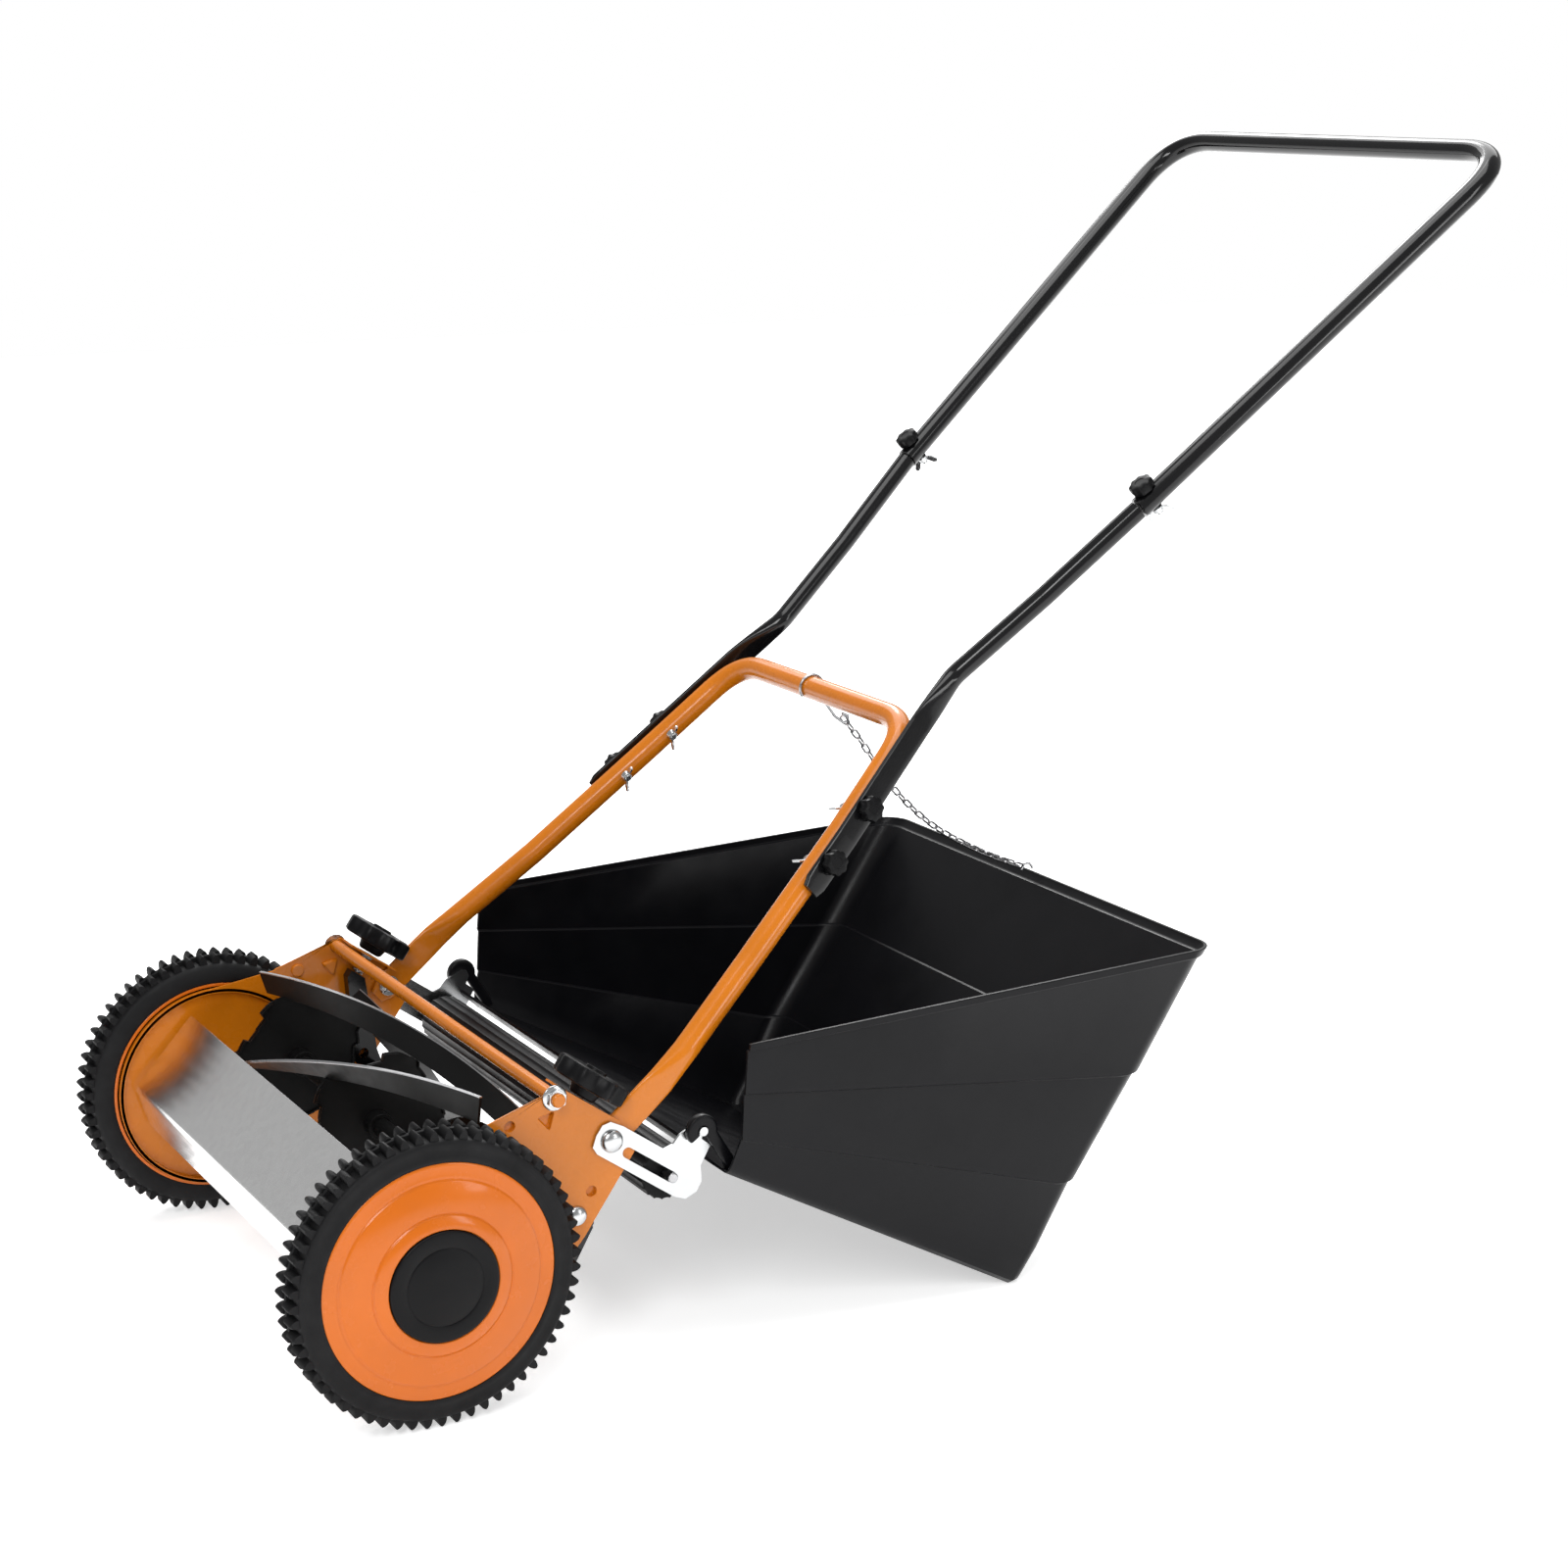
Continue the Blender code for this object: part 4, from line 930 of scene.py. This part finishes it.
def adjusters():
    """Knobs on threaded rods, with a washer and a spring under the flange."""
    upright = Matrix.Rotation(math.radians(-90), 4, "Y")
    for side, sign in SIDES:
        place = in_plate((ADJUSTER_U, 0), sign * ADJUSTER_X) @ upright
        body = "adjuster_" + side
        make("lobed_knob_" + side, lobed_knob(), "black_plastic", body, place,
             ["adjuster_knob_" + side], angle=40)
        hub = turned([(181.5, 3.1), (181.5, 10.0), (183.0, 12.0), (190.4, 14.0)], 48)
        make("knob_hub_" + side, hub, "black_plastic", body, place)
        washer = turned([(178.2, 3.2), (178.2, 3.1), (178.2, 8.0), (177.4, 8.0), (177.4, 3.2)], 32, True)
        make("spring_washer_" + side, washer, "zinc", "root", place)
        make("adjuster_screw_" + side, adjuster_screw(), "zinc", body, place)
        make("coil_spring_" + side, coil_spring(), "steel", "root", place,
             ["adjuster_spring_" + side])


# ------------------------------------------------------------------------- catcher

def level(side, rear, radius, front, z_front, z_rear, lift=0.0, arc=12):
    """One level of the tub: a U from the front, round the rear, forward."""
    run = rear - radius - front
    points = [(side, front + run * k / 8) for k in range(8)]
    for i in range(arc + 1):
        angle = math.radians(90 * i / arc)
        points.append((side - radius + radius * math.cos(angle), rear - radius + radius * math.sin(angle)))
    points += [(-x, y) for x, y in reversed(points)]
    out = []
    for x, y in points:
        share = min(1.0, (y - front) / run)
        out.append(Vector((x, y, z_front + (z_rear - z_front) * share + lift)))
    return out


def tub_rows():
    """Levels from the rim down: the rim, two stepped ledges, and the heel."""
    half = CATCHER_HALF
    return [
        (half + 0.2, 777.4, 27.6, 289.0, 150.9, 165.2),
        (half + 1.0, 778.0, 28.0, 289.0, 150.2, 164.6),
        (half + 1.0, 773.4, 27.4, 288.0, 145.8, 158.6),
        (half + 0.4, 772.0, 27.0, 288.0, 145.0, 157.5),
        (half - 1.6, 770.4, 26.2, 288.0, 144.7, 157.1),
        (half - 2.0, 769.6, 26.0, 288.0, 144.0, 156.2),
        (half - 1.0, 705.0, 26.0, 285.0, 108.0, 58.6),
        (half - 1.0, 704.0, 26.0, 285.0, 107.0, 57.5),
        (half - 2.8, 701.9, 26.0, 285.0, 106.3, 56.8),
        (half - 3.5, 701.0, 26.0, 285.0, 105.6, 55.8),
        (half - 3.0, 636.8, 24.0, 283.0, 67.0, -33.9),
        (half - 3.0, 636.0, 24.0, 283.0, 66.0, -35.0),
        (half - 4.8, 634.0, 24.0, 283.0, 65.3, -35.7),
        (half - 5.5, 633.0, 24.0, 283.0, 64.4, -36.8),
        (half - 8.5, 597.0, 18.0, 278.0, 48.0, HEEL_Z + 31.0),
        (half - 11.0, 582.0, 15.0, 276.0, 40.0, HEEL_Z + 9.0),
        (half - 13.5, 579.5, 13.6, 275.0, 36.0, HEEL_Z + 3.6),
        (half - 18.5, 577.0, 12.0, 274.0, 33.0, HEEL_Z),
    ]


def tub_skin(bm, levels):
    """One face of the tub's wall, with its floor."""
    grid = [[bm.verts.new(p) for p in row] for row in levels]
    for upper, under in zip(grid, grid[1:]):
        for j in range(len(upper) - 1):
            bm.faces.new((upper[j], upper[j + 1], under[j + 1], under[j]))
    base = grid[-1]
    count = len(base)
    for j in range(count // 2 - 1):
        bm.faces.new((base[j], base[j + 1], base[count - 2 - j], base[count - 1 - j]))
    return grid


def lip_row(bm, lift):
    """Edge points of the lip that reaches forward under the roller."""
    reach = PLATE_IN - 3.0
    ring = [(reach, y + 0.4 * lift, z + lift) for y, z in ((272.0, 34.5), (256.0, 49.0), (250.5, 56.6))]
    return [bm.verts.new(p) for p in ring + mirrored(ring)]


def tub_mesh():
    """Moulded tub: two skins, joined round the rim, the front ends and a lip."""
    rows = tub_rows()
    outer = [level(*row) for row in rows]
    inner = []
    for number, (side, rear, radius, front, z_front, z_rear) in enumerate(rows):
        floor = WALL if number == len(rows) - 1 else 0.0
        inner.append(level(side - WALL, rear - WALL, radius - WALL, front, z_front, z_rear, floor))
    bm = bmesh.new()
    skins = [tub_skin(bm, levels) for levels in (outer, inner)]
    lips = [lip_row(bm, lift) for lift in (0.0, WALL)]
    for grid, lip in zip(skins, lips):
        base = grid[-1]
        bm.faces.new((base[0], lip[0], lip[5], base[-1]))
        bm.faces.new((lip[0], lip[1], lip[4], lip[5]))
        bm.faces.new((lip[1], lip[2], lip[3], lip[4]))
    low, high = lips
    for a in range(5):
        bm.faces.new((low[a], low[a + 1], high[a + 1], high[a]))
    for end, corner in ((0, 0), (-1, 5)):
        bm.faces.new((skins[0][-1][end], low[corner], high[corner], skins[1][-1][end]))
        for a, b, c, d in zip(skins[0], skins[0][1:], skins[1], skins[1][1:]):
            bm.faces.new((a[end], b[end], d[end], c[end]))
    outside, inside = skins[0][0], skins[1][0]
    for j in range(len(outside) - 1):
        bm.faces.new((outside[j], outside[j + 1], inside[j + 1], inside[j]))
    return bm


def tub_hook(x):
    """Moulded hook that rises from the lip and lies over the bracket's pin."""
    u, v = HOOK_PIN
    pin_y = u * math.cos(PLATE_TILT) + v * math.sin(PLATE_TILT)
    pin_z = -u * math.sin(PLATE_TILT) + v * math.cos(PLATE_TILT)
    radius = 9.2
    route = [Vector((x, 284.0, 34.0)), Vector((x, 281.0, 42.0)), Vector((x, 273.5, 54.0))]
    for degrees in range(-20, 221, 10):
        angle = math.radians(degrees)
        route.append(Vector((x, pin_y + radius * math.cos(angle), pin_z + radius * math.sin(angle))))
    return sweep(route, [(4.2, 5.2, 0.45)] * len(route), (1, 0, 0), 20)


def catcher():
    make("grass_tub", tub_mesh(), "catcher_plastic", "catcher", AXES, ["catcher"], bevel=0.5, angle=28)
    for side, sign in SIDES:
        make("tub_hook_" + side, tub_hook(sign * HOOK_X), "catcher_plastic", "catcher", AXES,
             angle=40)


# --------------------------------------------------------------------------- chain

def chain_link(point, along, turn, length=13.0, width=7.6, radius=1.0):
    """One oval link centred on the point, its long way along the chain."""
    side = along.cross(Vector((1, 0, 0))).normalized()
    normal = along.cross(side).normalized()
    across = side * math.cos(turn) + normal * math.sin(turn)
    oval = []
    for i in range(20):
        angle = 2 * math.pi * i / 20
        straight = (length - width) / 2 * (1 if math.cos(angle) > 0 else -1)
        oval.append(point + along * (straight + (width / 2 - radius) * math.cos(angle))
                    + across * ((width / 2 - radius) * math.sin(angle)))
    loops = []
    flat = along.cross(across).normalized()
    for i, centre in enumerate(oval):
        tangent = (oval[(i + 1) % 20] - oval[i - 1]).normalized()
        outward = tangent.cross(flat).normalized()
        loops.append([centre + outward * radius * math.cos(2 * math.pi * k / 8)
                      + flat * radius * math.sin(2 * math.pi * k / 8) for k in range(8)])
    return loft(loops, True)


def in_chain_plane(points):
    return [Vector((CHAIN_X, y, z)) for y, z in points]


def tube_hook():
    """Wire bent round the cross tube and into an eye for the first link."""
    reach = LEG_R + 1.5
    bend = []
    for degrees in range(215, -31, -10):
        angle = math.radians(degrees)
        bend.append((CROSS_Y + reach * math.cos(angle), CROSS_Z + reach * math.sin(angle)))
    eye = [(536.5, 362.0), (547.0, 348.0), (556.0, 341.0), (562.0, 342.5), (561.5, 347.0), (555.0, 350.0)]
    return wire(in_chain_plane(bend + eye), 1.4)


def chain_links():
    """Links along the sagging line, each turned a quarter from the last."""
    pitch = 9.6
    sag = [(558.0, 343.0), (575.0, 322.0), (590.0, 301.0), (619.0, 263.0), (660.0, 226.0), (715.0, 193.5),
           (766.0, 171.0)]
    guide = smooth_route(in_chain_plane(sag), 12)
    links = []
    walked = 0.0
    for a, b in zip(guide, guide[1:]):
        step = (b - a).length
        while walked <= step:
            turn = math.radians(45 + 90 * (len(links) % 2))
            links.append(chain_link(a.lerp(b, walked / step), (b - a).normalized(), turn))
            walked += pitch
        walked -= step
    return links


def chain():
    """Welded links from a wire hook on the cross tube to the rim's hook."""
    rim = [(764.0, 168.0), (767.0, 173.2), (772.5, 173.6), (776.5, 169.0), (776.2, 167.3)]
    rim_hook = wire(smooth_route(in_chain_plane(rim), 5), 1.3)
    obj = make("link_chain", join(tube_hook(), rim_hook, *chain_links()), "steel", None, AXES, ["chain"])
    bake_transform(obj)


# ------------------------------------------------------- carried-over CAD nodes

def carried_nodes():
    """CAD pieces that keep their shape get a material and soft edges."""
    slots = {entry["node"]: entry["material_slot"] for entry in frame["record"]["subparts"]}
    for name, node in frame["nodes"].items():
        if node.hide_render:
            continue
        node.data.materials.clear()
        node.data.materials.append(LOOKS[slots[name]])
        add_bevel(node, 0.35)


add_camera()
wheels()
side_plates()
front_guard()
tie_rod()
reel()
roller()
handles()
clamps()
bracket_bolts()
adjusters()
catcher()
chain()
carried_nodes()
add_studio()
bpy.context.scene.view_settings.view_transform = "Standard"
